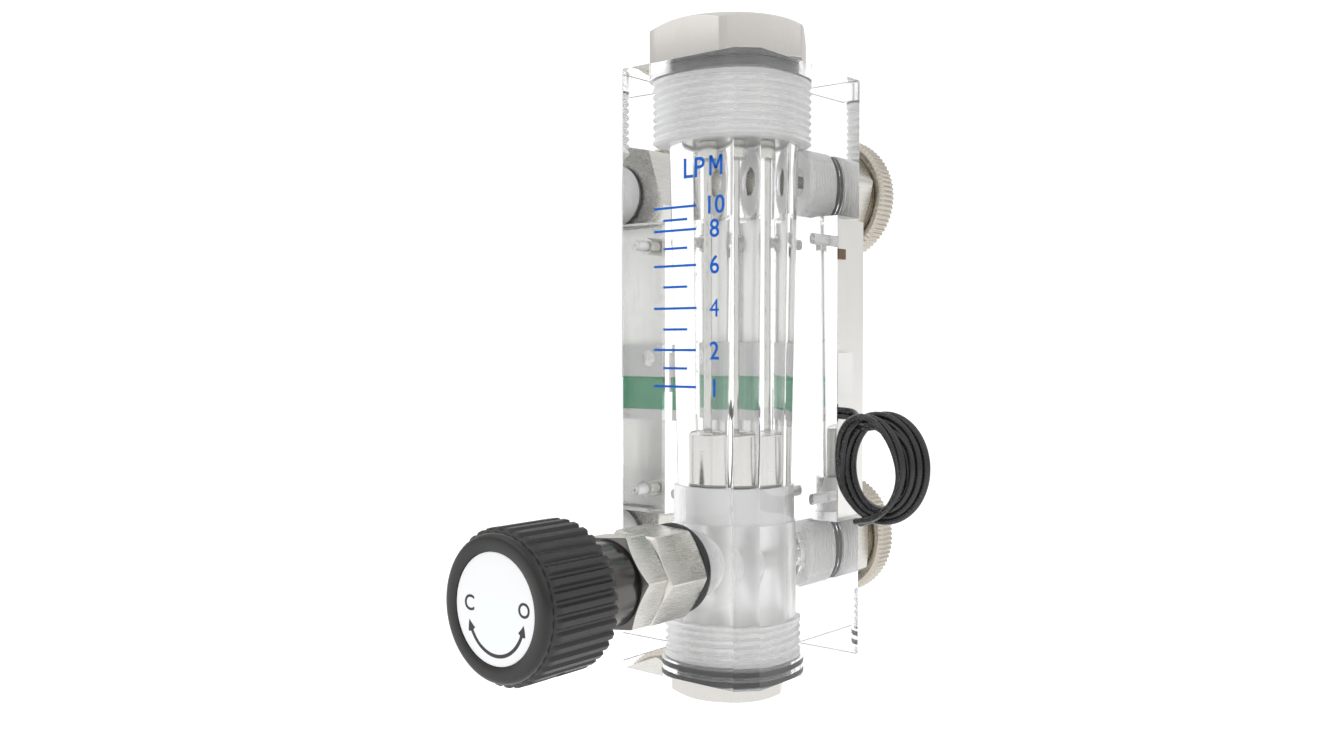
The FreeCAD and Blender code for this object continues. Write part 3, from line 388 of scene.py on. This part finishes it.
acrylic_edge, tree, shader = plain_finish("acrylic_edge", (0.72, 0.73, 0.73), 0.5)
shader.inputs["Transmission Weight"].default_value = 0.3

half = block_width / 2
corner = np.array([(-half + front_bevel, 0), (half - front_bevel, 0), (half, front_bevel),
                   (half, block_depth), (-half, block_depth), (-half, front_bevel)], float)
cells = 9
share = np.arange(cells)[None, :, None] / cells
plan = (corner[:, None] * (1 - share) + np.roll(corner, -1, axis=0)[:, None] * share).reshape(-1, 2)
fine = 0.14
middle_of_plan = np.array([0.0, block_depth / 2])
levels = np.concatenate([[0, 0], np.linspace(fine, block_height - fine, 41),
                         [block_height, block_height]])
taken_in = np.where((levels == 0) | (levels == block_height), 1 - fine * 1.4 / 25.0, 1.0)
taken_in[[0, -1]] = 0.0
plans = (plan - middle_of_plan) * taken_in[:, None, None] + middle_of_plan
heights = np.broadcast_to(levels[:, None, None], plans.shape[:2] + (1,))
blank = skin("clear_block", np.concatenate([plans, heights], axis=2), sharp=5.0)
blank.data.materials.append(acrylic_polish)
blank.data.materials.append(acrylic_edge)
corner_heights = np.zeros(len(blank.data.vertices) * 3)
blank.data.vertices.foreach_get("co", corner_heights)
normals = np.zeros(len(blank.data.polygons) * 3)
blank.data.polygons.foreach_get("normal", normals)
tilt = np.abs(normals.reshape(-1, 3)[:, 2])
blank.data.polygons.foreach_set("material_index", ((tilt > 0.2) & (tilt < 0.9)).astype(int))
screw_x, screw_levels = 15.8, (45.0, 115.0)
wall = np.concatenate([[notch_low], np.linspace(*screw_levels, 11), [notch_high]])
notch_plan = np.column_stack([np.r_[[notch_y] * 13, [notch_y + 20] * 13], np.r_[wall, wall[::-1]]])
notch_x = screw_x * np.linspace(-2, 2, 17)
notch_points = np.stack([np.column_stack([np.full(26, x), notch_plan]) for x in notch_x])
ends = notch_points.mean(axis=1, keepdims=True).repeat(26, axis=1)
notch_tool = skin("notch_tool", np.concatenate([ends[:1], notch_points, ends[-1:]]), sharp=5.0)
notch_tool.data.materials.append(acrylic_polish)

tools = [notch_tool]
top_thread = threaded(16.9, 140.6, 157.0, 2.0, 1.05)
bottom_thread = threaded(12.9, 2.9, 13.2, 2.0, 1.0)
tools.append(cutter("chamber_tool", [
    (0, 8.0), (11.0, 8.0), (11.0, 39.4), (10.4, 39.4), (10.4, 49.08), (0, 49.08)],
    "Z", (0, tube_y), acrylic_sawn))
tools.append(cutter("tube_tool", [
    (0, 44.0), (9.2, 44.0), (9.2, 49.0), (11.8, 140.0), (11.8, 150.0), (0, 150.0)],
    "Z", (0, tube_y), acrylic_bore))
tools.append(cutter("top_tool", [
    (0, 139.93), (15.85, 139.93), top_thread, (15.85, 157.7), (0, 157.7)],
    "Z", (0, tube_y), acrylic_thread))
tools.append(cutter("top_seal_tool", [
    (0, 157.4), (18.0, 157.4), (18.0, 161.0), (0, 161.0)], "Z", (0, tube_y), acrylic_haze))
tools.append(cutter("bottom_tool", [
    (0, 2.3), (11.95, 2.3), bottom_thread, (11.95, 13.4), (0, 13.4)],
    "Z", (0, tube_y), acrylic_thread))
tools.append(cutter("bottom_seal_tool", [
    (0, -1.0), (13.98, -1.0), (13.98, 2.6), (0, 2.6)], "Z", (0, tube_y), acrylic_haze))
port_thread = threaded(9.2, 38.0, 50.2, 1.4, 0.85)
for place, level in (("lower", inlet_z), ("upper", outlet_z)):
    tools.append(cutter(place + "_port_tool", [
        (0, 37.2), (8.35, 37.2), port_thread, (8.35, 50.9), (0, 50.9)],
        "Y", (0, level), acrylic_thread))
    tools.append(cutter(place + "_seal_tool", [
        (0, 50.65), (8.7, 50.65), (8.7, 53.5), (0, 53.5)], "Y", (0, level), acrylic_bore))
    tools.append(cutter(place + "_drill_tool", [
        (0, 29.3), (3.9, 29.3), (3.9, 37.9), (0, 37.9)], "Y", (0, level), acrylic_bore))
tools.append(cutter("valve_tool", [
    (0, -1.0), (8.35, -1.0), threaded(9.1, 0.6, 12.4, 1.4, 0.75), (8.35, 19.0), (0, 19.0)],
    "Y", (0, inlet_z), acrylic_thread))
tools.append(cutter("seat_tool", [
    (0, 34.7), (6.05, 34.7), (6.05, 37.7), (0, 37.7)], "Y", (0, inlet_z), acrylic_bore))
for x in (-screw_x, screw_x):
    for level in screw_levels:
        tools.append(cutter("screw_tool", [
            (0, 32.8), (1.5, 33.6), (1.5, 42.0), (0, 42.0)], "Y", (x, level), acrylic_thread))
for tool in tools:
    cut = blank.modifiers.new(tool.name, "BOOLEAN")
    cut.operation = "DIFFERENCE"
    cut.object = tool
    cut.solver = "EXACT"
    cut.material_mode = "TRANSFER"
depsgraph = bpy.context.evaluated_depsgraph_get()
whole = bpy.data.meshes.new_from_object(blank.evaluated_get(depsgraph), depsgraph=depsgraph)
blank.modifiers.clear()
blank.data = whole
whole.name = "clear_block"
for tool in tools:
    bpy.data.objects.remove(tool)
kinds = np.zeros(len(whole.polygons), int)
whole.polygons.foreach_get("material_index", kinds)
whole.polygons.foreach_set("use_smooth", kinds > 1)
whole.set_sharp_from_angle(angle=math.radians(24.0))
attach(blank, "root")
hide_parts("acrylic_block")

# --- Print on the block's face ---------------------------------------------------------------
# Screen-printed blue ink on the front face: flow marks, their numbers and the unit.
ink_blue, tree, shader = plain_finish("ink_blue", (0.001, 0.105, 0.50), 0.6)
shader.inputs["Specular IOR Level"].default_value = 0.2
grain(tree, shader, 4000.0, (1, 1, 1), 0.38, 0.55)
ink_front, ink_back = -0.045, -0.008
weld_distance = 0.0002 * MM


def printed(name, text, x, z, height, finish, front=ink_front, back=ink_back, body="root",
            bold=0.07):
    """Flat lettering, its middle at x and its foot at z, as a thin layer between two depths."""
    line = bpy.data.curves.new(name, "FONT")
    line.body = text
    line.align_x = "CENTER"
    line.size = height / 0.70
    line.offset = bold
    line.extrude = 0.5
    holder = bpy.data.objects.new(name, line)
    mesh = bpy.data.meshes.new_from_object(holder)
    bpy.data.objects.remove(holder)
    co = np.zeros(len(mesh.vertices) * 3)
    mesh.vertices.foreach_get("co", co)
    co = co.reshape(-1, 3)
    depth = np.where(co[:, 2] > 0, front, back)
    place = datum + MM * np.column_stack([x + co[:, 0], depth, z + co[:, 1]])
    mesh.vertices.foreach_set("co", place.ravel())
    welded = bmesh.new()
    welded.from_mesh(mesh)
    bmesh.ops.remove_doubles(welded, verts=welded.verts, dist=weld_distance)
    welded.to_mesh(mesh)
    welded.free()
    mesh.materials.clear()
    mesh.materials.append(finish)
    letters = bpy.data.objects.new(name, mesh)
    bpy.context.collection.objects.link(letters)
    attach(letters, body)
    return letters


def stroke(name, line, width, finish, front=ink_front, back=ink_back, body="root"):
    """Inked line: (x, z) points with a width at each, as a thin closed strip."""
    line, width = np.array(line, float), np.broadcast_to(width, len(line))
    heading = np.gradient(line, axis=0)
    heading /= np.linalg.norm(heading, axis=1)[:, None]
    side = np.column_stack([-heading[:, 1], heading[:, 0]]) * width[:, None] / 2
    edges = np.stack([line + side, line + side, line - side, line - side], axis=1)
    depth = np.broadcast_to([front, back, back, front], (len(line), 4))
    rows = np.stack([edges[..., 0], depth, edges[..., 1]], -1)
    ends = rows.mean(axis=1, keepdims=True).repeat(4, axis=1)
    strip = skin(name, np.concatenate([ends[:1], rows, ends[-1:]]), sharp=5.0)
    strip.data.materials.append(finish)
    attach(strip, body)
    return strip


scale_marks = [(10, 121.8), (9, 118.6), (8, 115.9), (7, 111.3), (6, 106.8), (5, 101.4), (4, 95.9),
               (3, 90.5), (2, 85.2), (1.5, 80.5), (1, 75.8)]
for flow, level in scale_marks:
    numbered = flow in (10, 8, 6, 4, 2, 1)
    left, right = (-7.4, 6.5) if numbered else (-4.3, 3.6)
    stroke("mark_" + str(flow).replace(".", "_"), [(left, level), (right, level)], 0.62, ink_blue)
    if numbered:
        printed("number_" + str(flow), str(flow), 12.3, level - 2.3, 4.5, ink_blue,
                bold=0.0 if flow == 4 else 0.07)
# The unit's M is four strokes, and the 4 has no added weight, which would fill its opening.
printed("unit", "LP", 5.6, 129.0, 5.0, ink_blue)
for side, line in (("left", [(11.0, 129.0), (11.0, 134.0)]),
                   ("right", [(14.4, 134.0), (14.4, 129.0)]),
                   ("middle_left", [(11.2, 133.8), (12.7, 130.6)]),
                   ("middle_right", [(12.7, 130.6), (14.2, 133.8)])):
    stroke("unit_m_" + side, line, 0.74, ink_blue)

# --- End plugs -------------------------------------------------------------------------------
# Stainless hexagon plugs, turned from drawn bar and screwed into both ends of the bore on a
# black O-ring. The hexagon's corners are turned off at the outer end.
stainless_z, tree, shader = plain_finish("stainless_upright", (0.60, 0.585, 0.56), 0.3, 1.0)
grain(tree, shader, 3000.0, (1, 1, 0.04), 0.26, 0.34, bump=0.03, depth=0.00002)
stainless_y, tree, shader = plain_finish("stainless_level", (0.62, 0.61, 0.575), 0.3, 1.0)
grain(tree, shader, 3000.0, (1, 0.04, 1), 0.24, 0.32, bump=0.01, depth=0.00002)
rubber, tree, shader = plain_finish("rubber", (0.022, 0.023, 0.025), 0.4)
grain(tree, shader, 1500.0, (1, 1, 1), 0.32, 0.48, bump=0.06, depth=0.00005)


def hexagon(across_flats, turn):
    """Angles and radii round a hexagon bar: half width / cos(angle from the flat's middle).

    Three columns stand close together at each corner, whose tip is taken off by 0.12 mm.
    """
    step = np.array([0.0, 0.9, 6, 12, 18, 24, 30, 36, 42, 48, 54, 59.1])
    degrees = (np.arange(6)[:, None] * 60 + step[None, :]).ravel()
    radius = across_flats / 2 / np.cos(np.radians(degrees % 60 - 30))
    radius[degrees % 60 == 0] -= 0.12
    return np.radians(degrees + turn), radius


def hexagon_bar(name, across_flats, low, high, axis, centre, turn=0.0, bevels=(False, True),
                bore=0.0):
    """Hexagon head; a bevel is the 30-degree cone that starts just inside the flats."""
    angle, radius = hexagon(across_flats, turn)
    inner = across_flats / 2 * 0.985
    fall = np.maximum(radius - inner, 0) * math.tan(math.radians(30))
    one = np.ones_like(radius)
    rows = [(bore * one, low * one),
            ((inner if bevels[0] else 0.99 * radius) * one, low * one),
            (radius, low + (fall if bevels[0] else 0.15)),
            (radius, high - (fall if bevels[1] else 0.15)),
            ((inner if bevels[1] else 0.99 * radius) * one, high * one),
            (bore * one, high * one)]
    profile = np.array([np.stack([r * one, h * one], -1) for r, h in rows])
    if bore:
        profile = eased(np.concatenate([profile, profile[:2]]), 0.22)[1:-1]
    else:
        profile = eased(profile, 0.22)
    points = around(profile[..., 0], profile[..., 1], axis, centre, angle)
    return skin(name, points, closed=bool(bore), sharp=25.0)


top_head = hexagon_bar("top_plug_head", 40.0, 160.8, 171.2, "Z", (0, tube_y))
top_head.data.materials.append(stainless_z)
radius, along = stack_rows([
    (0, 140.6), (14.4, 140.6), (14.9, 140.9), threaded(15.7, 141.2, 156.9, 2.0, 0.9),
    (15.4, 157.4), (15.4, 160.06), (19.75, 160.06), (20.0, 160.2), (20.0, 160.65),
    (19.85, 160.8), (0, 160.8)])
top_shank = skin("top_plug_shank", around(radius, along, "Z", (0, tube_y)))
top_shank.data.materials.append(stainless_z)
bottom_head = hexagon_bar("bottom_plug_head", 29.0, -7.2, -0.8, "Z", (0, tube_y),
                          bevels=(True, False))
bottom_head.data.materials.append(stainless_z)
radius, along = stack_rows([
    (0, -0.8), (14.35, -0.8), (14.5, -0.65), (14.5, -0.2), (14.35, -0.06), (11.5, -0.06),
    (11.5, 2.6), threaded(11.85, 2.9, 12.4, 2.0, 0.9), (11.2, 12.9), (10.8, 13.2), (0, 13.2)])
bottom_shank = skin("bottom_plug_shank", around(radius, along, "Z", (0, tube_y)))
bottom_shank.data.materials.append(stainless_z)
for piece, node in ((top_head, "top_plug"), (top_shank, "top_plug"),
                    (bottom_head, "bottom_plug"), (bottom_shank, "bottom_plug")):
    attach(piece, "root")
    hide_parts(node)


def o_ring(name, node, middle, section, along, axis, centre, body="root"):
    """Moulded ring squeezed in its groove: section (|cos|^3 + |sin|^3)^(-1/3) round its axis."""
    turn = 2 * math.pi * np.arange(24) / 24
    section = section * (np.abs(np.cos(turn)) ** 3 + np.abs(np.sin(turn)) ** 3) ** (-1 / 3)
    radius = np.repeat((middle + section * np.cos(turn))[:, None], 96, axis=1)
    height = (along + section * np.sin(turn))[:, None]
    ring = skin(name, around(radius, height, axis, centre), closed=True, sharp=60.0)
    ring.data.materials.append(rubber)
    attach(ring, body)
    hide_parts(node)


o_ring("top_seal", "top_plug_o_ring", 16.68, 1.28, 158.7, "Z", (0, tube_y))
o_ring("bottom_seal", "bottom_plug_o_ring", 12.78, 1.28, 1.3, "Z", (0, tube_y))

# --- Guide rod, stop sleeve and float seat ---------------------------------------------------
# Ground stainless rod between the top plug and the seat ring's three-armed carrier, with the
# sleeve that stops the float at the top.
ground, tree, shader = plain_finish("ground_steel", (0.55, 0.54, 0.52), 0.16, 1.0)
grain(tree, shader, 700.0, (1, 1, 0.05), 0.10, 0.22)
rod = turned("guide_rod", [(0, 39.4), (1.85, 39.4), (1.85, 146.8), (0, 146.8)], "Z", (0, tube_y),
             columns=48)
sleeve = turned("stop_sleeve", [(1.87, 135.8), (4.1, 135.8), (4.1, 140.6), (1.87, 140.6)], "Z",
                (0, tube_y), ease=0.35, columns=64, closed=True)
for piece, node in ((rod, "guide_rod"), (sleeve, "rod_stop_sleeve")):
    piece.data.materials.append(ground)
    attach(piece, "root")
    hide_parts(node)
frosted, tree, shader = plain_finish("seat_acetal", (0.96, 0.96, 0.955), 0.35)
shader.inputs["Transmission Weight"].default_value = 0.1
shader.inputs["IOR"].default_value = 1.46
grain(tree, shader, 1200.0, (1, 1, 1), 0.30, 0.45)

# --- Float -----------------------------------------------------------------------------------
# Bright-turned stainless cup that slides on the rod, with a ring magnet under a pressed cap.
bright, tree, shader = plain_finish("bright_turned", (0.62, 0.605, 0.58), 0.2, 1.0)
grain(tree, shader, 600.0, (0.3, 0.3, 10), 0.14, 0.28, bump=0.12, depth=0.00005)
cup = turned("float_cup", [(1.93, 49.0), (8.0, 49.0), (8.8, 49.8), (8.8, 62.6), (8.5, 62.9),
                           (7.9, 62.9), (7.9, 51.0), (3.0, 51.0), (3.0, 62.9), (1.93, 62.9)],
             "Z", (0, tube_y), ease=0.12, columns=96, closed=True)
cap = turned("float_lid", [(3.0, 61.1), (7.9, 61.1), (7.9, 62.7), (3.0, 62.7)], "Z",
             (0, tube_y), ease=0.15, closed=True)
for piece, node in ((cup, "float_body"), (cap, "float_cap")):
    piece.data.materials.append(bright)
    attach(piece, "float")
    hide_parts(node)

# --- Rear ports ------------------------------------------------------------------------------
# One-piece stainless adapters: thread and O-ring in the block, hexagon, panel stub. A washer
# and a straight-knurled round nut on each stub clamp the panel.
nut_steel, tree, shader = plain_finish("nut_steel", (0.50, 0.46, 0.40), 0.28, 1.0)
grain(tree, shader, 500.0, (1, 5, 1), 0.18, 0.34, bump=0.08, depth=0.00005)
for place, level, turn in (("upper", outlet_z, 12.0), ("lower", inlet_z, -28.0)):
    radius, along = stack_rows([
        (4.0, 76.0), (4.0, 37.6), (7.5, 37.4), (7.9, 37.9), threaded(8.25, 38.3, 50.2, 1.4, 0.75),
        (7.9, 50.65), (7.15, 50.65), (7.15, 53.0), (9.3, 53.0), (9.3, 72.6), (10.0, 72.6),
        threaded(10.0, 72.7, 89.2, 1.5, 0.55), (9.4, 90.0), (5.9, 90.0), (5.72, 89.6),
        (5.72, 76.0)])
    shank = skin(place + "_port_shank", around(radius, along, "Y", (0, level)), closed=True)
    collar = hexagon_bar(place + "_port_hexagon", 30.0, 52.6, 72.4, "Y", (0, level), turn,
                         bore=9.2)
    for piece in (shank, collar):
        piece.data.materials.append(stainless_y)
        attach(piece, "root")
        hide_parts(place + "_port_adapter")
    o_ring(place + "_port_seal", place + "_port_o_ring", 8.05, 0.87, 51.575, "Y", (0, level))
    teeth = 80
    columns = teeth * 8
    tooth = (np.arange(columns) % 8) / 8.0
    ridge = 0.42 * np.clip(1.5 * np.abs(2 * tooth - 1) - 0.25, 0, 1)
    rim = np.array([0.0, 0.0, 0.0, 0.0, 1.0, 1.0, 0.0, 0.0, 0.0, 0.0])
    radius = np.array([10.05, 14.4, 15.2, 17.2, 18.4, 18.4, 17.2, 11.0, 10.05, 10.05])
    height = np.array([74.7, 74.7, 74.2, 74.2, 75.4, 80.8, 82.0, 82.0, 81.2, 78.0])
    form = np.stack([np.broadcast_to(radius[:, None] - rim[:, None] * ridge, (10, columns)),
                     np.broadcast_to(height[:, None], (10, columns))], -1)
    form = eased(np.concatenate([form, form[:2]]), 0.25)[1:-1]
    nut = skin(place + "_nut", around(form[..., 0], form[..., 1], "Y", (0, level)),
               closed=True, sharp=50.0)
    washer = turned(place + "_washer", [(10.05, 72.7), (13.6, 72.7), (13.6, 74.6),
                                        (10.05, 74.6)], "Y", (0, level), ease=0.2, closed=True)
    for piece, body in ((nut, "_nut"), (washer, "_washer")):
        piece.data.materials.append(nut_steel)
        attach(piece, place + body)
        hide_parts(place + "_panel" + body)

# --- Needle valve ----------------------------------------------------------------------------
# Stainless hexagon body screwed into the block on an O-ring, a hexagon bonnet whose long round
# boss wears a black collar, and the spindle inside them. The bonnet's front bevel and face are
# given the collar's dark metal as a painted reflection of the black knob in front of them.
body_hex = hexagon_bar("valve_body_hexagon", 22.0, -17.7, -2.3, "Y", (0, inlet_z), -3.0,
                       (True, True), bore=4.65)
radius, along = stack_rows([
    (3.0, -2.6), (7.6, -2.6), (7.6, 0.4), threaded(8.25, 0.8, 10.6, 1.4, 0.7), (7.6, 11.1),
    (7.4, 11.3), (3.0, 11.3)])
body_nose = skin("valve_nose", around(radius, along, "Y", (0, inlet_z)), closed=True)
bonnet_hex = hexagon_bar("bonnet_hexagon", 22.0, -26.8, -18.0, "Y", (0, inlet_z), 5.0,
                         (True, True), bore=4.0)
# Face normals pick out the bonnet's forward bevel and face, which get a painted reflection of the
# knob.
painted_reflection_facing = np.zeros(len(bonnet_hex.data.polygons) * 3)
bonnet_hex.data.polygons.foreach_get("normal", painted_reflection_facing)
boss = turned("bonnet_boss", [(4.0, -45.0), (8.0, -45.0), (8.0, -26.8), (4.0, -26.8)], "Y",
              (0, inlet_z), ease=0.1, closed=True)
collar = turned("black_collar", [(8.02, -45.0), (9.9, -45.0), (10.5, -44.4), (10.5, -26.85),
                                 (8.02, -26.85)], "Y", (0, inlet_z), ease=0.12, closed=True)
# Dark metal of the collar, also laid on the bonnet's front as a painted reflection of the black
# knob.
collar_black_and_painted_reflection, tree, shader = plain_finish("collar_black_and_painted_reflection", (0.12, 0.115, 0.11), 0.25, 1.0)
grain(tree, shader, 500.0, (0.4, 6, 0.4), 0.14, 0.26, bump=0.05, depth=0.00004)
for piece, node, finish, slot in (
        (body_hex, "valve_body", stainless_y, "stainless"),
        (body_nose, "valve_body", stainless_y, "stainless"),
        (bonnet_hex, "valve_bonnet", stainless_y, "stainless"),
        (boss, "valve_bonnet", stainless_y, "stainless"),
        (collar, "bonnet_collar", collar_black_and_painted_reflection, "black_steel")):
    piece.data.materials.append(finish)
    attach(piece, "root")
    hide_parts(node)
# Painted reflection: faces turned to the knob take the dark collar metal instead of bright steel.
bonnet_hex.data.materials.append(collar_black_and_painted_reflection)
bonnet_hex.data.polygons.foreach_set("material_index", (painted_reflection_facing[1::3] < -0.3).astype(int))
o_ring("valve_seal", "valve_body_o_ring", 10.6, 1.12, -1.15, "Y", (0, inlet_z))

# --- Knob ------------------------------------------------------------------------------------
# Black moulded knob with thirty-six ribs and a smooth rolled lip, pressed on a brass bush.
knob_black, tree, shader = plain_finish("knob_black", (0.022, 0.0215, 0.023), 0.34)
grain(tree, shader, 2200.0, (1, 1, 1), 0.34, 0.5, bump=0.15, depth=0.00004)
knob_lip, tree, shader = plain_finish("knob_lip", (0.009, 0.008, 0.0075), 0.3)
grain(tree, shader, 2200.0, (1, 1, 1), 0.26, 0.36)
ribs = 36
per_rib = 10
turn = (np.arange(ribs * per_rib) % per_rib) / per_rib
groove = np.clip((np.abs(2 * turn - 1) - 0.45) / 0.25, 0, 1)
knob_rows = [(0, -62.0, 0), (12.6, -62.0, 0), (12.6, -63.0, 0), (12.75, -63.1, 0),
             (15.3, -63.1, 0), (15.9, -62.94, 0), (16.34, -62.5, 0), (16.5, -61.9, 0),
             (16.5, -61.1, 0), (16.72, -61.0, 0.1), (17.3, -60.75, 0.6), (17.6, -60.3, 1),
             (17.6, -59.0, 1), (17.6, -43.0, 1), (17.6, -42.2, 1), (17.45, -41.75, 1),
             (17.1, -41.5, 0.8), (15.8, -41.5, 0.0), (11.3, -41.5, 0), (11.1, -41.7, 0),
             (11.1, -48.0, 0), (6.02, -48.0, 0), (6.02, -59.2, 0), (0, -59.2, 0)]
rim, along, deep = np.array(knob_rows)[:, :, None].transpose(1, 0, 2)
radius = rim - 0.8 * deep * groove
grip = skin("knob_grip", around(radius, along, "Y", (0, inlet_z)), sharp=38.0)
grip.data.materials.append(knob_black)
grip.data.materials.append(knob_lip)
lip_y = block_low[1] - MM * 60.9
middles = np.zeros(len(grip.data.polygons) * 3)
grip.data.polygons.foreach_get("center", middles)
grip.data.polygons.foreach_set("material_index", (middles[1::3] < lip_y).astype(int))
hole_angle = math.radians(-62.0)
hole_way = np.array([math.cos(hole_angle), 0.0, math.sin(hole_angle)])
hole_side = np.array([-hole_way[2], 0.0, hole_way[0]])
round_hole = 2 * math.pi * np.arange(48) / 48
ring = 2.1 * (np.cos(round_hole)[:, None] * [0, 1, 0] + np.sin(round_hole)[:, None] * hole_side)
hole = (np.array([0, -52.0, inlet_z]) + np.array([5.0, 5.0, 20.0, 20.0])[:, None, None] * hole_way
        + np.array([0, 1, 1, 0])[:, None, None] * ring)
screw_hole = skin("screw_hole", hole)
cut = grip.modifiers.new("screw_hole", "BOOLEAN")
cut.object, cut.solver = screw_hole, "EXACT"
depsgraph = bpy.context.evaluated_depsgraph_get()
grip.data = bpy.data.meshes.new_from_object(grip.evaluated_get(depsgraph), depsgraph=depsgraph)
grip.modifiers.clear()
bpy.data.objects.remove(screw_hole)
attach(grip, "knob")
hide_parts("knob")

# --- Knob label ------------------------------------------------------------------------------
# White printed film disc in the knob's front: C and O, a double arrow and a pale print ground.
film, tree, shader = plain_finish("label_film", (0.86, 0.87, 0.88), 0.35)
grain(tree, shader, 1800.0, (1, 1, 1), 0.28, 0.42)
ink_dark, tree, shader = plain_finish("ink_dark", (0.018, 0.018, 0.022), 0.4)
disc = turned("label_disc", [(0, -62.8), (12.5, -62.8), (12.5, -62.0), (0, -62.0)], "Y",
              (0, inlet_z), ease=0.1)
disc.data.materials.append(film)
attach(disc, "knob")
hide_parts("knob_label")
printed("close_letter", "C", -8.15, 27.8, 3.4, ink_dark, -62.84, -62.79, "knob")
printed("open_letter", "O", 9.2, 28.4, 3.2, ink_dark, -62.84, -62.79, "knob")
sweep = np.radians(np.linspace(194.5, 352.0, 90))
arc = np.column_stack([0.35 + 8.8 * np.cos(sweep), 28.0 + 9.2 * np.sin(sweep)])
reach = np.linspace(0, 1, 90)
tip = np.minimum(reach, 1 - reach)
stroke("turn_arrow", arc, np.where(tip < 0.09, 0.05 + 2.3 * tip / 0.09, 0.8), ink_dark,
       -62.84, -62.79, "knob")
tint, tree, shader = plain_finish("label_tint", (0.84, 0.89, 0.93), 0.35)
grain(tree, shader, 1800.0, (1, 1, 1), 0.28, 0.42)
angle = 2 * math.pi * np.arange(64) / 64
square = np.stack([np.sign(c) * np.abs(c) ** 0.35 for c in (np.cos(angle), np.sin(angle))], -1)
plate = np.array([0, 1, 1, 0])[:, None, None] * square * [6.05, 5.6] + [0.55, 25.9]
depth = np.broadcast_to(np.array([-62.79, -62.79, -62.815, -62.815])[:, None], plate.shape[:2])
patch = skin("label_patch", np.stack([plate[..., 0], depth, plate[..., 1]], -1))
patch.data.materials.append(tint)
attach(patch, "knob")

# --- Rail, slider and switch -----------------------------------------------------------------
# Extruded aluminium rail on spacers in the block's notch; a white moulded slider carries the
# green board and its reed switch, and a brown clip ends its travel.
rail_metal, tree, shader = plain_finish("rail_metal", (0.80, 0.795, 0.77), 0.42, 1.0)
grain(tree, shader, 400.0, (6, 6, 0.15), 0.32, 0.46, bump=0.12, depth=0.00006)
white_moulding, tree, shader = plain_finish("white_moulding", (0.80, 0.80, 0.79), 0.4)
shader.inputs["Subsurface Weight"].default_value = 0.1
shader.inputs["Subsurface Scale"].default_value = 0.001
grain(tree, shader, 900.0, (1, 1, 1), 0.36, 0.5, bump=0.1, depth=0.00005)
solder_green, tree, shader = plain_finish("solder_green", (0.03, 0.33, 0.15), 0.35)
grain(tree, shader, 1500.0, (1, 1, 1), 0.2, 0.4)
clip_brown, tree, shader = plain_finish("clip_brown", (0.11, 0.055, 0.025), 0.4)
grain(tree, shader, 1500.0, (1, 1, 1), 0.35, 0.5)
magnet_grey, tree, shader = plain_finish("magnet_grey", (0.09, 0.09, 0.10), 0.4, 0.6)
grain(tree, shader, 1500.0, (1, 1, 1), 0.35, 0.5)
brass, tree, shader = plain_finish("brass", (0.70, 0.48, 0.18), 0.3, 1.0)
grain(tree, shader, 900.0, (1, 6, 1), 0.2, 0.35)
black_steel, tree, shader = plain_finish("black_steel", (0.05, 0.05, 0.055), 0.35, 0.8)
grain(tree, shader, 900.0, (1, 1, 1), 0.25, 0.4)
glass, tree, shader = plain_finish("reed_glass", (0.80, 0.92, 0.86), 0.05)
shader.inputs["Transmission Weight"].default_value = 0.9
for node, finish in (("switch_rail", rail_metal), ("rail_screws", ground),
                     ("rail_spacers", ground), ("slider_stop", clip_brown),
                     ("slider", white_moulding), ("switch_board", solder_green),
                     ("reed_switch", glass), ("slider_screw", ground),
                     ("cable_grommet", rubber), ("float_seat", frosted),
                     ("float_magnet", magnet_grey), ("valve_seat", frosted),
                     ("valve_stem", ground), ("stem_o_ring", rubber), ("knob_insert", brass),
                     ("knob_set_screw", black_steel)):
    for material_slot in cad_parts[node].material_slots:
        material_slot.material = finish
